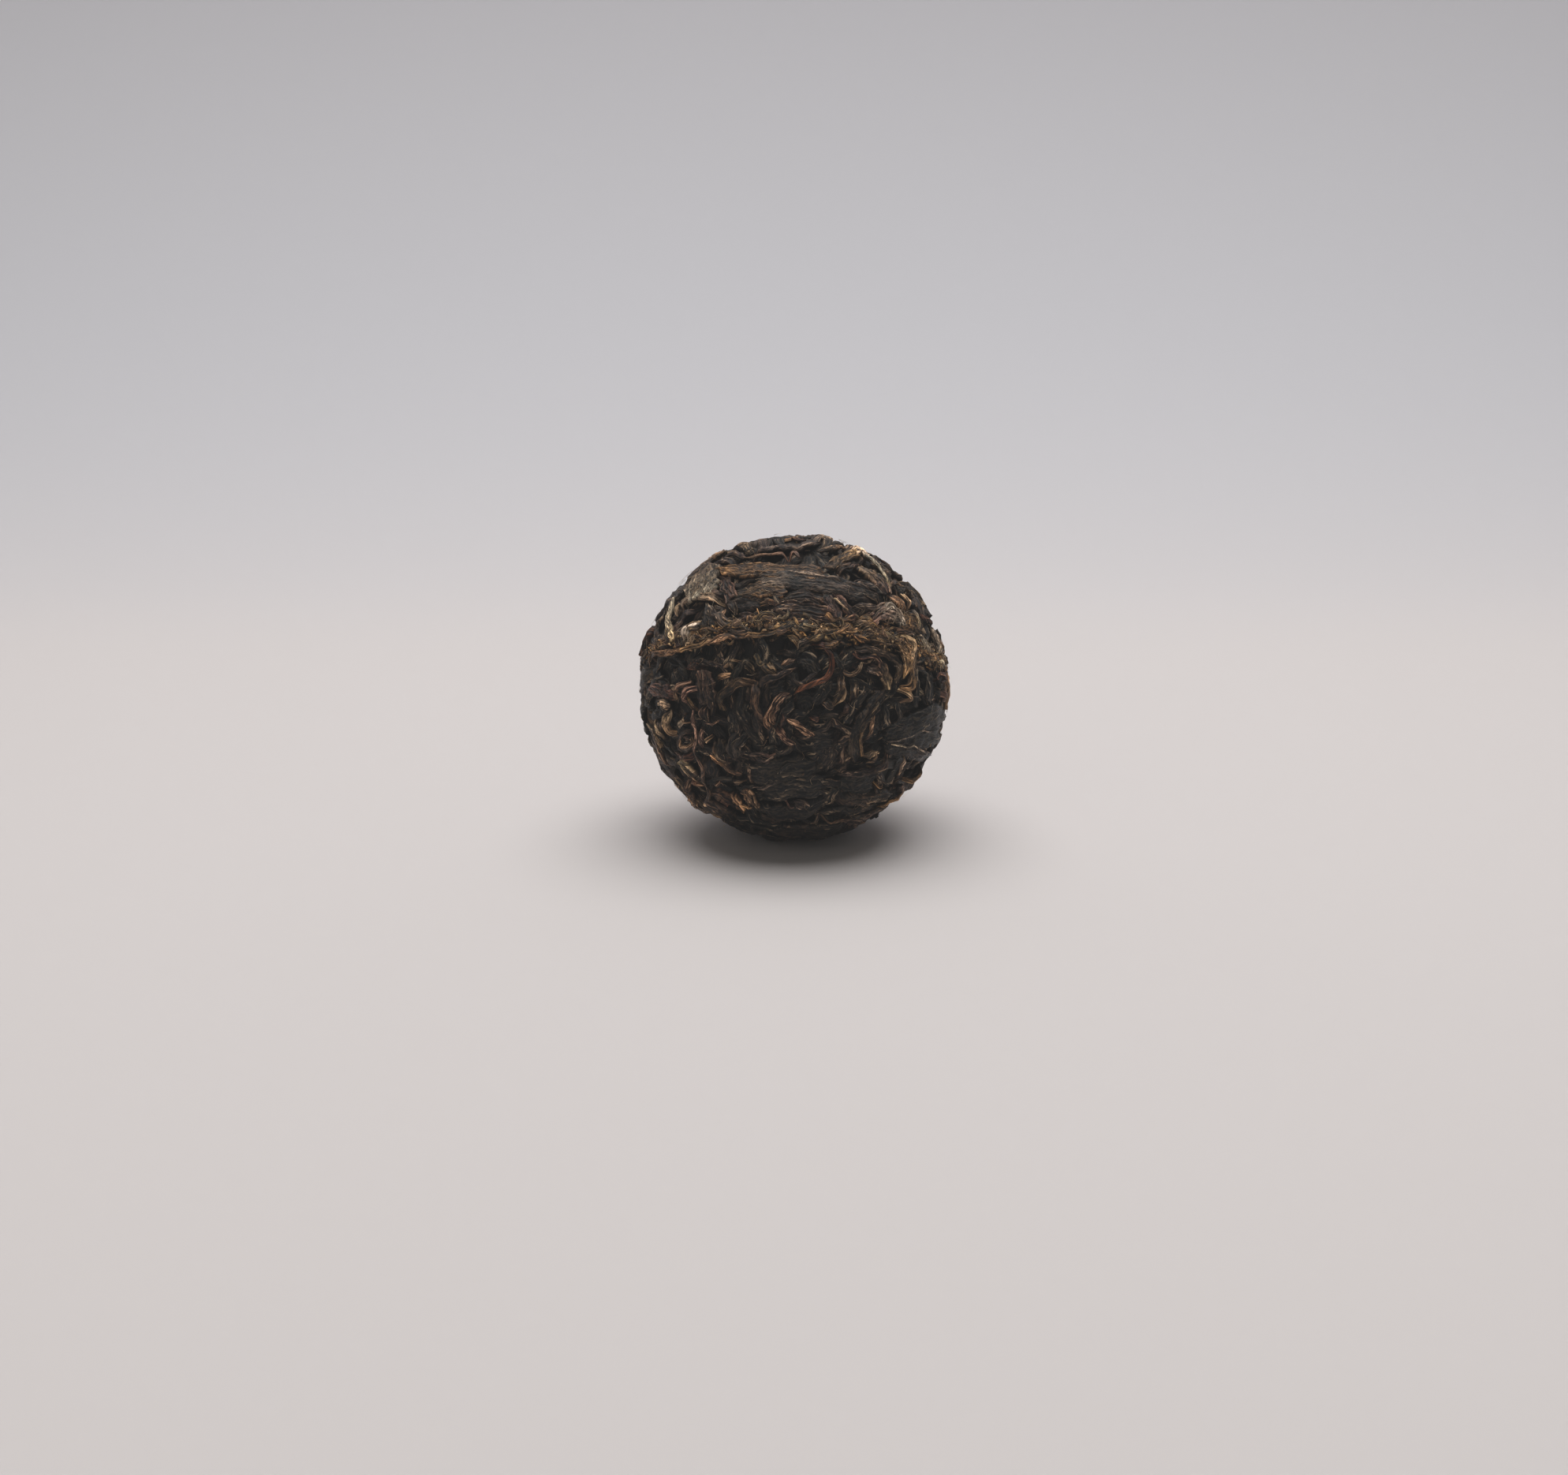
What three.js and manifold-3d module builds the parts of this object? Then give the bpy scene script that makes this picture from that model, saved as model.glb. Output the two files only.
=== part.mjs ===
// Tea pearl: whole tea leaves, rolled and folded, pressed into a ball in a two-part round mould.
// Millimetres, +Z up. The origin is the middle of the small flat spot that the pearl rests on.
// Run by Node as a plain module; the group that it exports holds the one solid.
import * as THREE from 'three';
import { mergeVertices } from 'three/addons/utils/BufferGeometryUtils.js';
import Module from 'manifold-3d';

// Driving dimensions of the ball, in millimetres and degrees
const PEARL_ACROSS = 24;
const FLAT_SPOT_ACROSS = 6.4;
const CORE_BELOW_SURFACE = 0.95;
const CORE_TURNS = 28;
const CAP_ROWS = [0, 20, 39, 56];
const BOWL_ROWS = [107, 124, 141, 160, 180];
const ROOT_BELOW_SURFACE = 1.6;

// The seam where the two halves of the mould met: its tilt, its offset and its crumbly ridge,
// with the groove that runs round just below it
const SEAM_LEAN_BACK = 28.1;
const SEAM_LEAN_RIGHT = 1.7;
const SEAM_ABOVE_MIDDLE = 1.65;
const RIDGE_WIDE = 1.2;
const RIDGE_ROUGHNESS = 0.35;
const RIDGE_BELOW_SURFACE = 0.15;
const RIDGE_CREST_SHARE = 0.7;
const RIDGE_FOOT_SHARE = 2;
const GROOVE_FROM_SHARE = 1.6;
const GROOVE_WIDE = 1.3;
const GROOVE_BELOW_SURFACE = 1.35;

// The front face is set out in millimetres as an eye sees it from this height and distance
const EYE_RAISED = 13.5;
const EYE_AWAY = 177;

// How a strand and a broad leaf are shaped
const THIN_STRAND = 1.05;
const STRAND_STEP = 2.4;
const BOW_STEP = 0.8;
const STRAND_THICK = 0.5;
const STRAND_CROWN = 0.88;
const STRAND_END = 0.42;
const ROUND_SIDES = 5;
const THIN_SIDES = 4;
const LEAF_STEP = 2.6;
const PLEATED_FROM = 2.7;
const LEAF_PLEAT = 0.16;
const LEAF_EDGE_DROP = 0.24;
const LEAF_END = 0.4;
const LEAST_STEPS = 2;
const RUN_GAP = 0.03;
const LENGTH_STEPS = 12;

// The leaf folded into a four-cornered pad that the pearl rests on, a little proud of the others
const SOLE_SIDES = 4;
const SOLE_FLARE = 1.3;
const SOLE_RISE = 1.6;
const LEAVES_OFF_FLOOR = 0.1;

// The leaves that the rule lays round the sides, the back and underneath
const RULE_SEED = 20459;
const RULE_PLACES = 84;
const RULE_SKIPS_FRONT = 0.27;
const CLUMPS = 12;
const HEADING_STRAY = 24;
const BROAD_SHARE = 0.58;
const STRAND_LONG = [4.6, 7.4];
const STRAND_WIDE = [1.0, 1.6];
const BROAD_LONG = [4.8, 7.6];
const BROAD_WIDE = [2.2, 3.2];
const BOW_MOST = 1.5;
const DEEP_MOST = 0.3;

const LEAF_COLOUR = 0x5a4a36;
const LEAF_ROUGHNESS = 0.72;

const R = PEARL_ACROSS / 2;
const MIDDLE_HEIGHT = Math.sqrt(R * R - (FLAT_SPOT_ACROSS / 2) ** 2);
const LIMB_SHARE = 0.9995;
const LIMB = R * LIMB_SHARE;
const STEEPEST_FLAT = 0.05;
const MERGE_WITHIN = 1e-4;

// Broad leaves of the front face: from u, v to u, v, bow, width, depth below the surface.
// A positive bow swings the leaf to the left of its run.
const FRONT_BROAD = [
  // the cap
  [-5.7, 9.2, 6.6, 7.3, 0.55, 2.0, 0],
  [-4.4, 7.7, -0.6, 7.7, 0.1, 1.5, 0.1],
  [-8.4, 6.9, -6.3, 9.7, 0, 2.7, 0],
  [-6.3, 8.7, -4.9, 6.9, 0, 1.2, 0.1],
  [-4.6, 6.5, -1.9, 6.6, 0, 1.1, 0.2],
  [-1.0, 7.0, 3.1, 6.8, 0.1, 1.2, 0.15],
  [-2.0, 5.9, 3.0, 5.5, 0.2, 1.2, 0.1],
  [-2.5, 4.8, -0.1, 5.0, 0, 0.9, 0.3],
  [2.6, 7.6, 4.7, 5.4, 0, 1.3, 0.05],
  [8.0, 8.6, 10.3, 6.0, 0.2, 1.3, 0],
  [6.2, 5.4, 8.5, 5.4, 0.6, 1.4, 0],
  // the bowl, right
  [7.2, -4.5, 11.9, -2.2, 0.2, 2.8, 0],
  [7.4, -0.3, 4.8, -5.8, -0.75, 1.2, 0.1],
  [3.7, -7.8, 6.3, -7.5, 0, 1.6, 0.2],
  [3.2, -9.2, 7.6, -8.4, 0.1, 1.4, 0.1],
  // the bowl, middle and left
  [-6.5, -4.2, -4.4, -6.6, 0, 1.5, 0.1],
  [-4.9, -3.7, -3.4, -6.4, -0.2, 1.5, 0.3],
  [-3.7, -7.7, 2.6, -6.2, 0.3, 2.0, 0.1],
  [-2.9, -9.5, 3.4, -8.2, 0.2, 2.3, 0],
  [0.6, -5.2, 3.6, -4.2, 0.2, 2.2, 0.4],
  [-6.9, -10.2, -5.0, -8.6, 0, 1.8, 0],
  [-4.9, -8.4, -3.2, -9.6, 0, 1.3, 0.1],
  [-9.2, -6.5, -7.6, -6.1, 0, 1.1, 0.1],
  [-10.8, -4.6, -8.8, -8.0, 0.1, 1.3, 0.1],
  [-11.2, -0.5, -9.0, -0.3, 0, 1.0, 0.1],
  [-11.0, 4.8, -11.9, 2.6, 0, 0.9, 0],
];

// Rolled strands of the front face, in the same terms
const FRONT_ROLLED = [
  // top of the cap
  [-5.6, 10.2, -2.5, 11.4, 0.15, 0.8, 0],
  [-2.3, 10.8, 2.3, 11.6, 0.1, 1.1, 0],
  [-2.6, 11.4, 0.3, 11.85, 0.1, 0.8, 0],
  [2.0, 10.6, 4.2, 11.0, 0.15, 0.7, 0.1],
  [2.4, 9.3, 4.9, 10.6, -0.1, 1.1, 0],
  [5.2, 10.2, 7.5, 7.7, 0.25, 1.3, 0],
  [4.2, 8.2, 6.8, 7.3, 0.15, 0.9, 0.15],
  [4.0, 7.4, 6.9, 6.6, 0.15, 0.9, 0.1],
  // left of the cap
  [-5.9, 7.0, -9.0, 6.1, -0.65, 0.75, 0],
  [-8.9, 7.2, -9.3, 3.6, -0.5, 0.75, 0],
  [-7.9, 5.6, -8.6, 3.3, -0.1, 1.0, 0.05],
  [-7.3, 5.7, -6.5, 4.1, 0, 1.6, 0.2],
  [-6.9, 6.5, -6.1, 5.1, 0.1, 0.9, 0],
  [-5.9, 6.2, -4.5, 6.2, -1.5, 0.85, 0],
  // right of the cap
  [7.4, 7.3, 8.7, 6.1, 0.1, 0.9, 0],
  [8.3, 5.8, 9.9, 4.5, 0.1, 1.1, 0],
  [10.1, 4.7, 10.3, 2.2, 0.1, 0.85, 0],
  [10.6, 5.0, 11.6, 2.0, 0.1, 0.85, 0],
  // the bowl, left
  [-8.6, 1.7, -6.2, 1.8, 0.1, 0.8, 0.3],
  [-7.3, 1.0, -6.7, -1.5, 0.2, 1.4, 0.05],
  [-6.0, -1.5, -3.0, 0.4, 0.9, 0.7, 0],
  [-3.0, 0.7, -2.5, -3.2, -0.55, 0.7, 0],
  [-3.0, 0.1, 0.6, 2.2, -0.2, 0.65, 0.05],
  [-0.3, -0.3, -1.0, -3.3, -1.1, 0.75, 0],
  [-1.3, -3.1, -1.9, -4.8, 0.9, 0.7, 0.1],
  [-0.6, -2.2, 1.8, -3.9, 0.1, 0.6, 0],
  [-3.7, -5.3, -1.2, -5.6, 0.2, 0.9, 0.2],
  [-9.7, -1.6, -9.4, -4.0, -0.6, 0.9, 0],
  [-9.0, -3.7, -8.0, -4.9, 0.3, 1.2, 0.1],
  [-11.2, -2.4, -10.2, -4.4, -0.1, 0.8, 0],
  [-8.4, -0.6, -7.4, -6.0, 0.25, 0.55, 0],
  [-7.4, -5.9, -6.8, -9.6, 0.1, 0.6, 0],
  // the bowl, right
  [1.3, 3.3, 0.3, -0.6, 2.5, 0.5, 0],
  [0.8, 3.6, 3.5, 3.2, 0.4, 0.8, 0.2],
  [0.1, 1.8, 2.0, 1.3, 0.2, 1.7, 0.35],
  [3.8, 1.0, 3.1, -1.5, 0.2, 0.75, 0.1],
  [7.9, 4.0, 8.3, -0.1, 1.35, 0.75, 0],
  [7.5, 3.8, 8.3, 0.2, 0.75, 0.75, 0.05],
  [5.1, 2.7, 8.1, 0.0, 1.3, 0.7, 0.15],
  [8.3, -0.1, 9.0, -1.1, 0.1, 0.7, 0],
  [9.7, 1.9, 9.7, -1.2, 0.1, 0.8, 0.1],
  [10.3, 1.9, 10.7, -1.4, 0.1, 0.8, 0.05],
  [11.1, 0.4, 12.0, 1.0, 0, 0.7, 0],
  [7.2, -1.2, 7.2, -3.8, 0.1, 0.8, 0.2],
  [3.4, -6.7, 7.9, -5.2, -0.35, 0.8, 0],
  [9.1, -5.2, 6.3, -7.5, -0.35, 0.6, 0],
  [10.4, -6.0, 8.7, -7.7, 0, 0.8, 0],
  [8.9, -8.0, 6.4, -9.4, 0, 0.7, 0],
  [2.2, -10.6, 5.9, -9.9, 0.1, 0.7, 0],
];

// Deep gaps between the leaves of the front face: from u, v to u, v, width, depth
const FRONT_HOLLOWS = [
  [1.0, 9.9, 3.6, 9.3, 1.1, 2.3],
  [4.0, 8.9, 5.4, 8.5, 0.9, 2.3],
  [5.9, -6.5, 8.2, -6.3, 0.9, 2.0],
  [7.6, -7.2, 10.0, -6.6, 0.8, 2.0],
  [-4.9, -1.3, -3.7, -3.6, 1.4, 1.7],
];

// One repeatable stream of draws between 0 and 1
function draws(seed) {
  let state = seed >>> 0;
  return () => {
    state = (state + 0x6d2b79f5) >>> 0;
    let mix = Math.imul(state ^ (state >>> 15), state | 1);
    mix ^= mix + Math.imul(mix ^ (mix >>> 7), mix | 61);
    return ((mix ^ (mix >>> 14)) >>> 0) / 4294967296;
  };
}

const between = ([low, high], draw) => low + (high - low) * draw;

// A face of the ball: its middle direction, and right and up across it
function face(out) {
  const flat = Math.hypot(out.x, out.y);
  const right = flat > STEEPEST_FLAT
    ? new THREE.Vector3(-out.y / flat, out.x / flat, 0)
    : new THREE.Vector3(1, 0, 0);
  const up = new THREE.Vector3().crossVectors(out, right).normalize();
  return { out, right: new THREE.Vector3().crossVectors(up, out), up };
}

// The direction, from the ball's middle, of the point that lies at u, v across a face
function spot(on, u, v) {
  const reach = Math.min(1, LIMB / Math.hypot(u, v));
  const flat = on.right.clone().multiplyScalar(u * reach).addScaledVector(on.up, v * reach);
  if (on.away) return seenSpot(on, flat);
  return flat.addScaledVector(on.out, Math.sqrt(R * R - flat.lengthSq())).normalize();
}

// The same for a face seen from near by: where the line of sight first meets the ball
function seenSpot(on, flat) {
  const eye = on.out.clone().multiplyScalar(on.away);
  const sight = flat.multiplyScalar(on.away / Math.sqrt(on.away ** 2 - R ** 2)).sub(eye);
  const a = sight.lengthSq();
  const b = sight.dot(eye);
  const c = on.away ** 2 - R ** 2;
  return eye.addScaledVector(sight, (-b - Math.sqrt(Math.max(0, b * b - a * c))) / a).normalize();
}

// A leaf's run: a bowed line from its foot to its tip
function route(leaf, along) {
  const du = leaf.u1 - leaf.u0;
  const dv = leaf.v1 - leaf.v0;
  const chord = Math.hypot(du, dv);
  const swing = 4 * leaf.bow * along * (1 - along) / chord;
  return [leaf.u0 + du * along - dv * swing, leaf.v0 + dv * along + du * swing];
}

// Where on the ball a leaf is at a share of its run, and which way is across it
function station(leaf, along) {
  const here = spot(leaf.on, ...route(leaf, along));
  const back = spot(leaf.on, ...route(leaf, along - RUN_GAP));
  const ahead = spot(leaf.on, ...route(leaf, along + RUN_GAP));
  const run = ahead.sub(back).addScaledVector(here, -ahead.dot(here)).normalize();
  return { here, side: new THREE.Vector3().crossVectors(run, here).normalize() };
}

// How many steps a leaf is cut into: more where it is long, and where it bends
function stepsOf(leaf, step) {
  let long = 0;
  for (let i = 0; i < LENGTH_STEPS; i++) {
    const from = spot(leaf.on, ...route(leaf, i / LENGTH_STEPS));
    long += R * from.angleTo(spot(leaf.on, ...route(leaf, (i + 1) / LENGTH_STEPS)));
  }
  return Math.max(LEAST_STEPS, Math.round(long / step + Math.abs(leaf.bow) / BOW_STEP));
}

// Full in the middle of the run and narrowed to a share at both ends
function taper(along, end) {
  return end + (1 - end) * Math.sqrt(Math.max(0, Math.sin(Math.PI * along)));
}

// Lays a straight blank along a leaf's run: the blank's y is the run, x the width, z the height
function lay(blank, leaf, shape) {
  const points = blank.getAttribute('position');
  for (let i = 0; i < points.count; i++) {
    const along = points.getY(i) + 0.5;
    const { here, side } = station(leaf, along);
    const { across, radius } = shape(points.getX(i), along, points.getZ(i));
    const out = here.multiplyScalar(Math.cos(across / R)).addScaledVector(side, Math.sin(across / R));
    points.setXYZ(i, ...out.multiplyScalar(radius).toArray());
  }
  return blank;
}

// A rolled leaf: a strand pressed against the mould, whose sides run down into the core
function strand(leaf) {
  const thin = leaf.wide < THIN_STRAND;
  const sides = thin ? THIN_SIDES : ROUND_SIDES;
  const steps = stepsOf(leaf, STRAND_STEP);
  const blank = new THREE.CylinderGeometry(1, 1, 1, sides, steps, false, thin ? Math.PI / 4 : 0);
  const crest = thin ? Math.SQRT1_2 : 1;
  const thick = leaf.wide * STRAND_THICK;
  return lay(blank, leaf, (x, along, z) => {
    const half = (leaf.wide / 2) * taper(along, STRAND_END);
    if (z < 0) return { across: Math.sign(x) * half, radius: R - ROOT_BELOW_SURFACE };
    return { across: x * half * STRAND_CROWN, radius: R - leaf.deep - thick * (1 - z / crest) };
  });
}

// A broad leaf: a slab, crowned or pleated along its run, both faces cut alike
function broadLeaf(leaf) {
  const pleats = leaf.wide > PLEATED_FROM ? 2 : 1;
  const blank = new THREE.BoxGeometry(2, 1, 2, pleats * 2, stepsOf(leaf, LEAF_STEP), 1);
  return lay(blank, leaf, (x, along, z) => {
    const across = x * (leaf.wide / 2) * taper(along, LEAF_END);
    if (z < 0) return { across, radius: R - ROOT_BELOW_SURFACE };
    const column = Math.round((x + 1) * pleats);
    const rim = column === 0 || column === pleats * 2;
    const valley = column % 2 === 0 ? LEAF_PLEAT : 0;
    return { across, radius: R - leaf.deep - (rim ? LEAF_EDGE_DROP : valley) };
  });
}

// A deep gap in the core, as the solid that is cut away
function hollow(gap) {
  const blank = new THREE.CylinderGeometry(1, 1, 1, ROUND_SIDES, LEAST_STEPS, false, Math.PI);
  return lay(blank, gap, (x, along, z) => ({
    across: x * (gap.wide / 2) * taper(along, LEAF_END),
    radius: z > 0 ? R + gap.wide : R + gap.deep * z,
  }));
}

// The seam's plane, from its two leans
function seamNormal() {
  const lean = THREE.MathUtils.degToRad(SEAM_LEAN_BACK);
  const tilt = THREE.MathUtils.degToRad(SEAM_LEAN_RIGHT);
  return new THREE.Vector3(Math.sin(tilt), Math.sin(lean), Math.cos(lean)).normalize();
}

// Rows of the core from the cap's pole to the bowl's: angle from the pole, depth, roughness
function coreRows() {
  const seam = Math.acos(SEAM_ABOVE_MIDDLE / R);
  const ridge = RIDGE_WIDE / 2 / R;
  const groove = seam + ridge * GROOVE_FROM_SHARE;
  const plain = (angle) => ({ angle, below: CORE_BELOW_SURFACE, rough: 0 });
  const crumbly = (angle) => ({ angle, below: RIDGE_BELOW_SURFACE, rough: RIDGE_ROUGHNESS });
  const sunk = (angle) => ({ angle, below: GROOVE_BELOW_SURFACE, rough: 0 });
  return [
    ...CAP_ROWS.map(THREE.MathUtils.degToRad).map(plain),
    plain(seam - ridge * RIDGE_FOOT_SHARE),
    crumbly(seam - ridge * RIDGE_CREST_SHARE),
    crumbly(seam + ridge * RIDGE_CREST_SHARE),
    sunk(groove),
    sunk(groove + GROOVE_WIDE / R),
    ...BOWL_ROWS.map(THREE.MathUtils.degToRad).map(plain),
  ];
}

// The core, with the crumbly ridge of broken leaf that the seam squeezed out all the way round
function core() {
  const rows = coreRows();
  const ball = new THREE.SphereGeometry(1, CORE_TURNS, rows.length - 1);
  const draw = draws(RULE_SEED + 1);
  const crumbs = rows.map(() => Array.from({ length: CORE_TURNS }, draw));
  const turn = new THREE.Quaternion().setFromUnitVectors(new THREE.Vector3(0, 1, 0), seamNormal());
  const points = ball.getAttribute('position');
  const at = new THREE.Vector3();
  const round = new THREE.Spherical();
  for (let i = 0; i < points.count; i++) {
    round.setFromVector3(at.fromBufferAttribute(points, i));
    const row = Math.round(round.phi / Math.PI * (rows.length - 1));
    const step = Math.round((round.theta / (2 * Math.PI) + 1) * CORE_TURNS) % CORE_TURNS;
    const crumb = crumbs[row][step] * rows[row].rough;
    round.phi = rows[row].angle + (crumb - rows[row].rough / 2) / R;
    round.radius = R - rows[row].below - crumb;
    at.setFromSpherical(round).applyQuaternion(turn);
    points.setXYZ(i, at.x, at.y, at.z);
  }
  return ball;
}

// Points spread evenly over the ball
function latticeDirection(i, count) {
  const z = 1 - (2 * i + 1) / count;
  const turn = Math.PI * (3 - Math.sqrt(5)) * i;
  const flat = Math.sqrt(1 - z * z);
  return new THREE.Vector3(flat * Math.cos(turn), flat * Math.sin(turn), z);
}

// The leaves off the front face: spread evenly, with neighbours headed much the same way
function ruledLeaves(front) {
  const draw = draws(RULE_SEED);
  const clumps = Array.from({ length: CLUMPS }, (_, i) => ({
    middle: latticeDirection(i, CLUMPS),
    heading: draw() * Math.PI,
  }));
  const leaves = [];
  for (let i = 0; i < RULE_PLACES; i++) {
    const out = latticeDirection(i, RULE_PLACES);
    const kind = draw() < BROAD_SHARE ? 'broad' : 'rolled';
    const clump = clumps.reduce((a, b) => (b.middle.dot(out) > a.middle.dot(out) ? b : a));
    const stray = THREE.MathUtils.degToRad((draw() - 0.5) * 2 * HEADING_STRAY);
    const long = between(kind === 'broad' ? BROAD_LONG : STRAND_LONG, draw());
    const wide = between(kind === 'broad' ? BROAD_WIDE : STRAND_WIDE, draw());
    const bow = (draw() - 0.5) * BOW_MOST;
    const deep = draw() * DEEP_MOST;
    if (out.dot(front.out) > RULE_SKIPS_FRONT) continue;
    const u = Math.cos(clump.heading + stray) * long / 2;
    const v = Math.sin(clump.heading + stray) * long / 2;
    leaves.push({ kind, on: face(out), u0: -u, v0: -v, u1: u, v1: v, bow, wide, deep });
  }
  return leaves;
}

// The leaves of the front face, from the two lists
function frontLeaves(front) {
  const read = (kind) => ([u0, v0, u1, v1, bow, wide, deep]) =>
    ({ kind, on: front, u0, v0, u1, v1, bow, wide, deep });
  return [...FRONT_BROAD.map(read('broad')), ...FRONT_ROLLED.map(read('rolled'))];
}

// The deep gaps of the front face
function frontHollows(front) {
  return FRONT_HOLLOWS.map(([u0, v0, u1, v1, wide, deep]) =>
    hollow({ on: front, u0, v0, u1, v1, bow: 0, wide, deep }));
}

// The folded leaf at the bottom, whose underside is the flat spot
function sole() {
  const reach = FLAT_SPOT_ACROSS / 2;
  const pad = new THREE.CylinderGeometry(reach * SOLE_FLARE, reach, SOLE_RISE, SOLE_SIDES);
  pad.rotateX(Math.PI / 2);
  pad.translate(0, 0, SOLE_RISE / 2 - MIDDLE_HEIGHT);
  return pad;
}

const wasm = await Module();
wasm.setup();

// A closed three.js shape as a solid
function solid(geometry) {
  const bare = new THREE.BufferGeometry();
  bare.setAttribute('position', geometry.getAttribute('position'));
  if (geometry.index) bare.setIndex(geometry.index);
  const merged = mergeVertices(bare, MERGE_WITHIN);
  return new wasm.Manifold(new wasm.Mesh({
    numProp: 3,
    vertProperties: new Float32Array(merged.getAttribute('position').array),
    triVerts: new Uint32Array(merged.index.array),
  }));
}

// A solid back as a three.js shape
function geometryOf(joined) {
  const mesh = joined.getMesh();
  const geometry = new THREE.BufferGeometry();
  geometry.setAttribute('position', new THREE.BufferAttribute(mesh.vertProperties, 3));
  geometry.setIndex(new THREE.BufferAttribute(mesh.triVerts, 1));
  geometry.computeVertexNormals();
  return geometry;
}

// Joins the pieces, trims them off the floor and keeps the one outer body, without loose scraps
function fuse(pieces, hollows) {
  let joined = solid(core());
  for (const gap of hollows) joined = joined.subtract(solid(gap));
  for (const piece of pieces) joined = joined.add(solid(piece));
  const block = new THREE.BoxGeometry(PEARL_ACROSS * 2, PEARL_ACROSS * 2, PEARL_ACROSS);
  block.translate(0, 0, LEAVES_OFF_FLOOR - MIDDLE_HEIGHT - PEARL_ACROSS / 2);
  const bodies = joined.subtract(solid(block)).add(solid(sole())).decompose();
  return bodies.reduce((a, b) => (b.volume() > a.volume() ? b : a));
}

const rise = THREE.MathUtils.degToRad(EYE_RAISED);
const front = face(new THREE.Vector3(0, -Math.cos(rise), Math.sin(rise)));
front.away = EYE_AWAY;
const leaves = [...frontLeaves(front), ...ruledLeaves(front)];
const pieces = leaves.map((leaf) => (leaf.kind === 'broad' ? broadLeaf(leaf) : strand(leaf)));

const pressedLeaf = new THREE.MeshStandardMaterial({
  color: LEAF_COLOUR,
  roughness: LEAF_ROUGHNESS,
  metalness: 0,
});
const pearl = new THREE.Mesh(geometryOf(fuse(pieces, frontHollows(front))), pressedLeaf);
pearl.name = 'tea_pearl';
pearl.position.z = MIDDLE_HEIGHT;

const group = new THREE.Group();
group.add(pearl);

export default group;
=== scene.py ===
"""Pressed tea pearl: whole cured tea leaves, rolled and folded, pressed into a small ball.

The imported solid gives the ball's place and size. Every leaf that shows is laid on the round
surface that the mould left: those of the front face one by one, the others by a seeded rule.
"""
import logging
import math
from dataclasses import dataclass
from enum import Enum
from typing import Callable, Iterator, Optional, Sequence

import bpy
import numpy as np
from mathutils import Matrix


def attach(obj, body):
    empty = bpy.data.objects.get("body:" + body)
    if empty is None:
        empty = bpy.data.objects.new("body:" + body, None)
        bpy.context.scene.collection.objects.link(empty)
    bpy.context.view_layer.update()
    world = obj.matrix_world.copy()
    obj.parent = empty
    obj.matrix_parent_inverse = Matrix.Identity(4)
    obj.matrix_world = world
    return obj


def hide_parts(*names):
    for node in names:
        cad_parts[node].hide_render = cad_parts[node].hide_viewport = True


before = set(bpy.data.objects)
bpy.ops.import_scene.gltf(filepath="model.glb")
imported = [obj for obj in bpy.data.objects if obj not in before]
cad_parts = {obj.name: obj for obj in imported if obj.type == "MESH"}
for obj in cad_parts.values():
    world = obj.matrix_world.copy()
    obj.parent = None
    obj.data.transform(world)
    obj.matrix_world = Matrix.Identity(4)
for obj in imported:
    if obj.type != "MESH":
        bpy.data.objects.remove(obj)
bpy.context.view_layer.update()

LOG = logging.getLogger("tea_pearl")
MM = 0.001
NODE = "tea_pearl"
BODY = "root"
GOLDEN_TURN = math.pi * (3 - math.sqrt(5))


def linear(hex_colour: str) -> tuple[float, float, float]:
    """Turns an sRGB hex colour to linear light.

    Args:
        hex_colour: Six hex digits, with or without a leading hash.

    Returns:
        Red, green and blue from 0 to 1.
    """
    digits = hex_colour.lstrip("#")
    parts = [int(digits[i:i + 2], 16) / 255 for i in (0, 2, 4)]
    return tuple(c / 12.92 if c <= 0.04045 else ((c + 0.055) / 1.055) ** 2.4 for c in parts)


def unit(vector: np.ndarray) -> np.ndarray:
    """Scales vectors along the last axis to length 1."""
    return vector / np.linalg.norm(vector, axis=-1, keepdims=True)


def ease(share: np.ndarray) -> np.ndarray:
    """Eases a share in and out, and holds it from 0 to 1."""
    held = np.clip(share, 0, 1)
    return held * held * (3 - 2 * held)


def crumple(at: np.ndarray, seed: int, creased: bool = False) -> np.ndarray:
    """Draws unevenness over a plane, one wave to each unit.

    Args:
        at: Points on the plane.
        seed: Any whole number.
        creased: Whether it is made of flat facets with creases between them, or is smooth.

    Returns:
        A height from -1 to 1 for each point.
    """
    cell = np.floor(at).astype(np.int64)
    share = at - cell
    reach = share if creased else ease(share)
    total = np.zeros(len(at))
    for dx in (0, 1):
        for dy in (0, 1):
            mix = (cell[:, 0] + dx) * 374761393 + (cell[:, 1] + dy) * 668265263 + seed * 974634777
            mix = ((mix ^ (mix >> 13)) * 1274126177) & 0xFFFFFFFF
            height = ((mix ^ (mix >> 16)) & 0xFFFF) / 32767.5 - 1
            along = reach[:, 0] if dx else 1 - reach[:, 0]
            across = reach[:, 1] if dy else 1 - reach[:, 1]
            total += height * along * across
    return total


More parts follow.
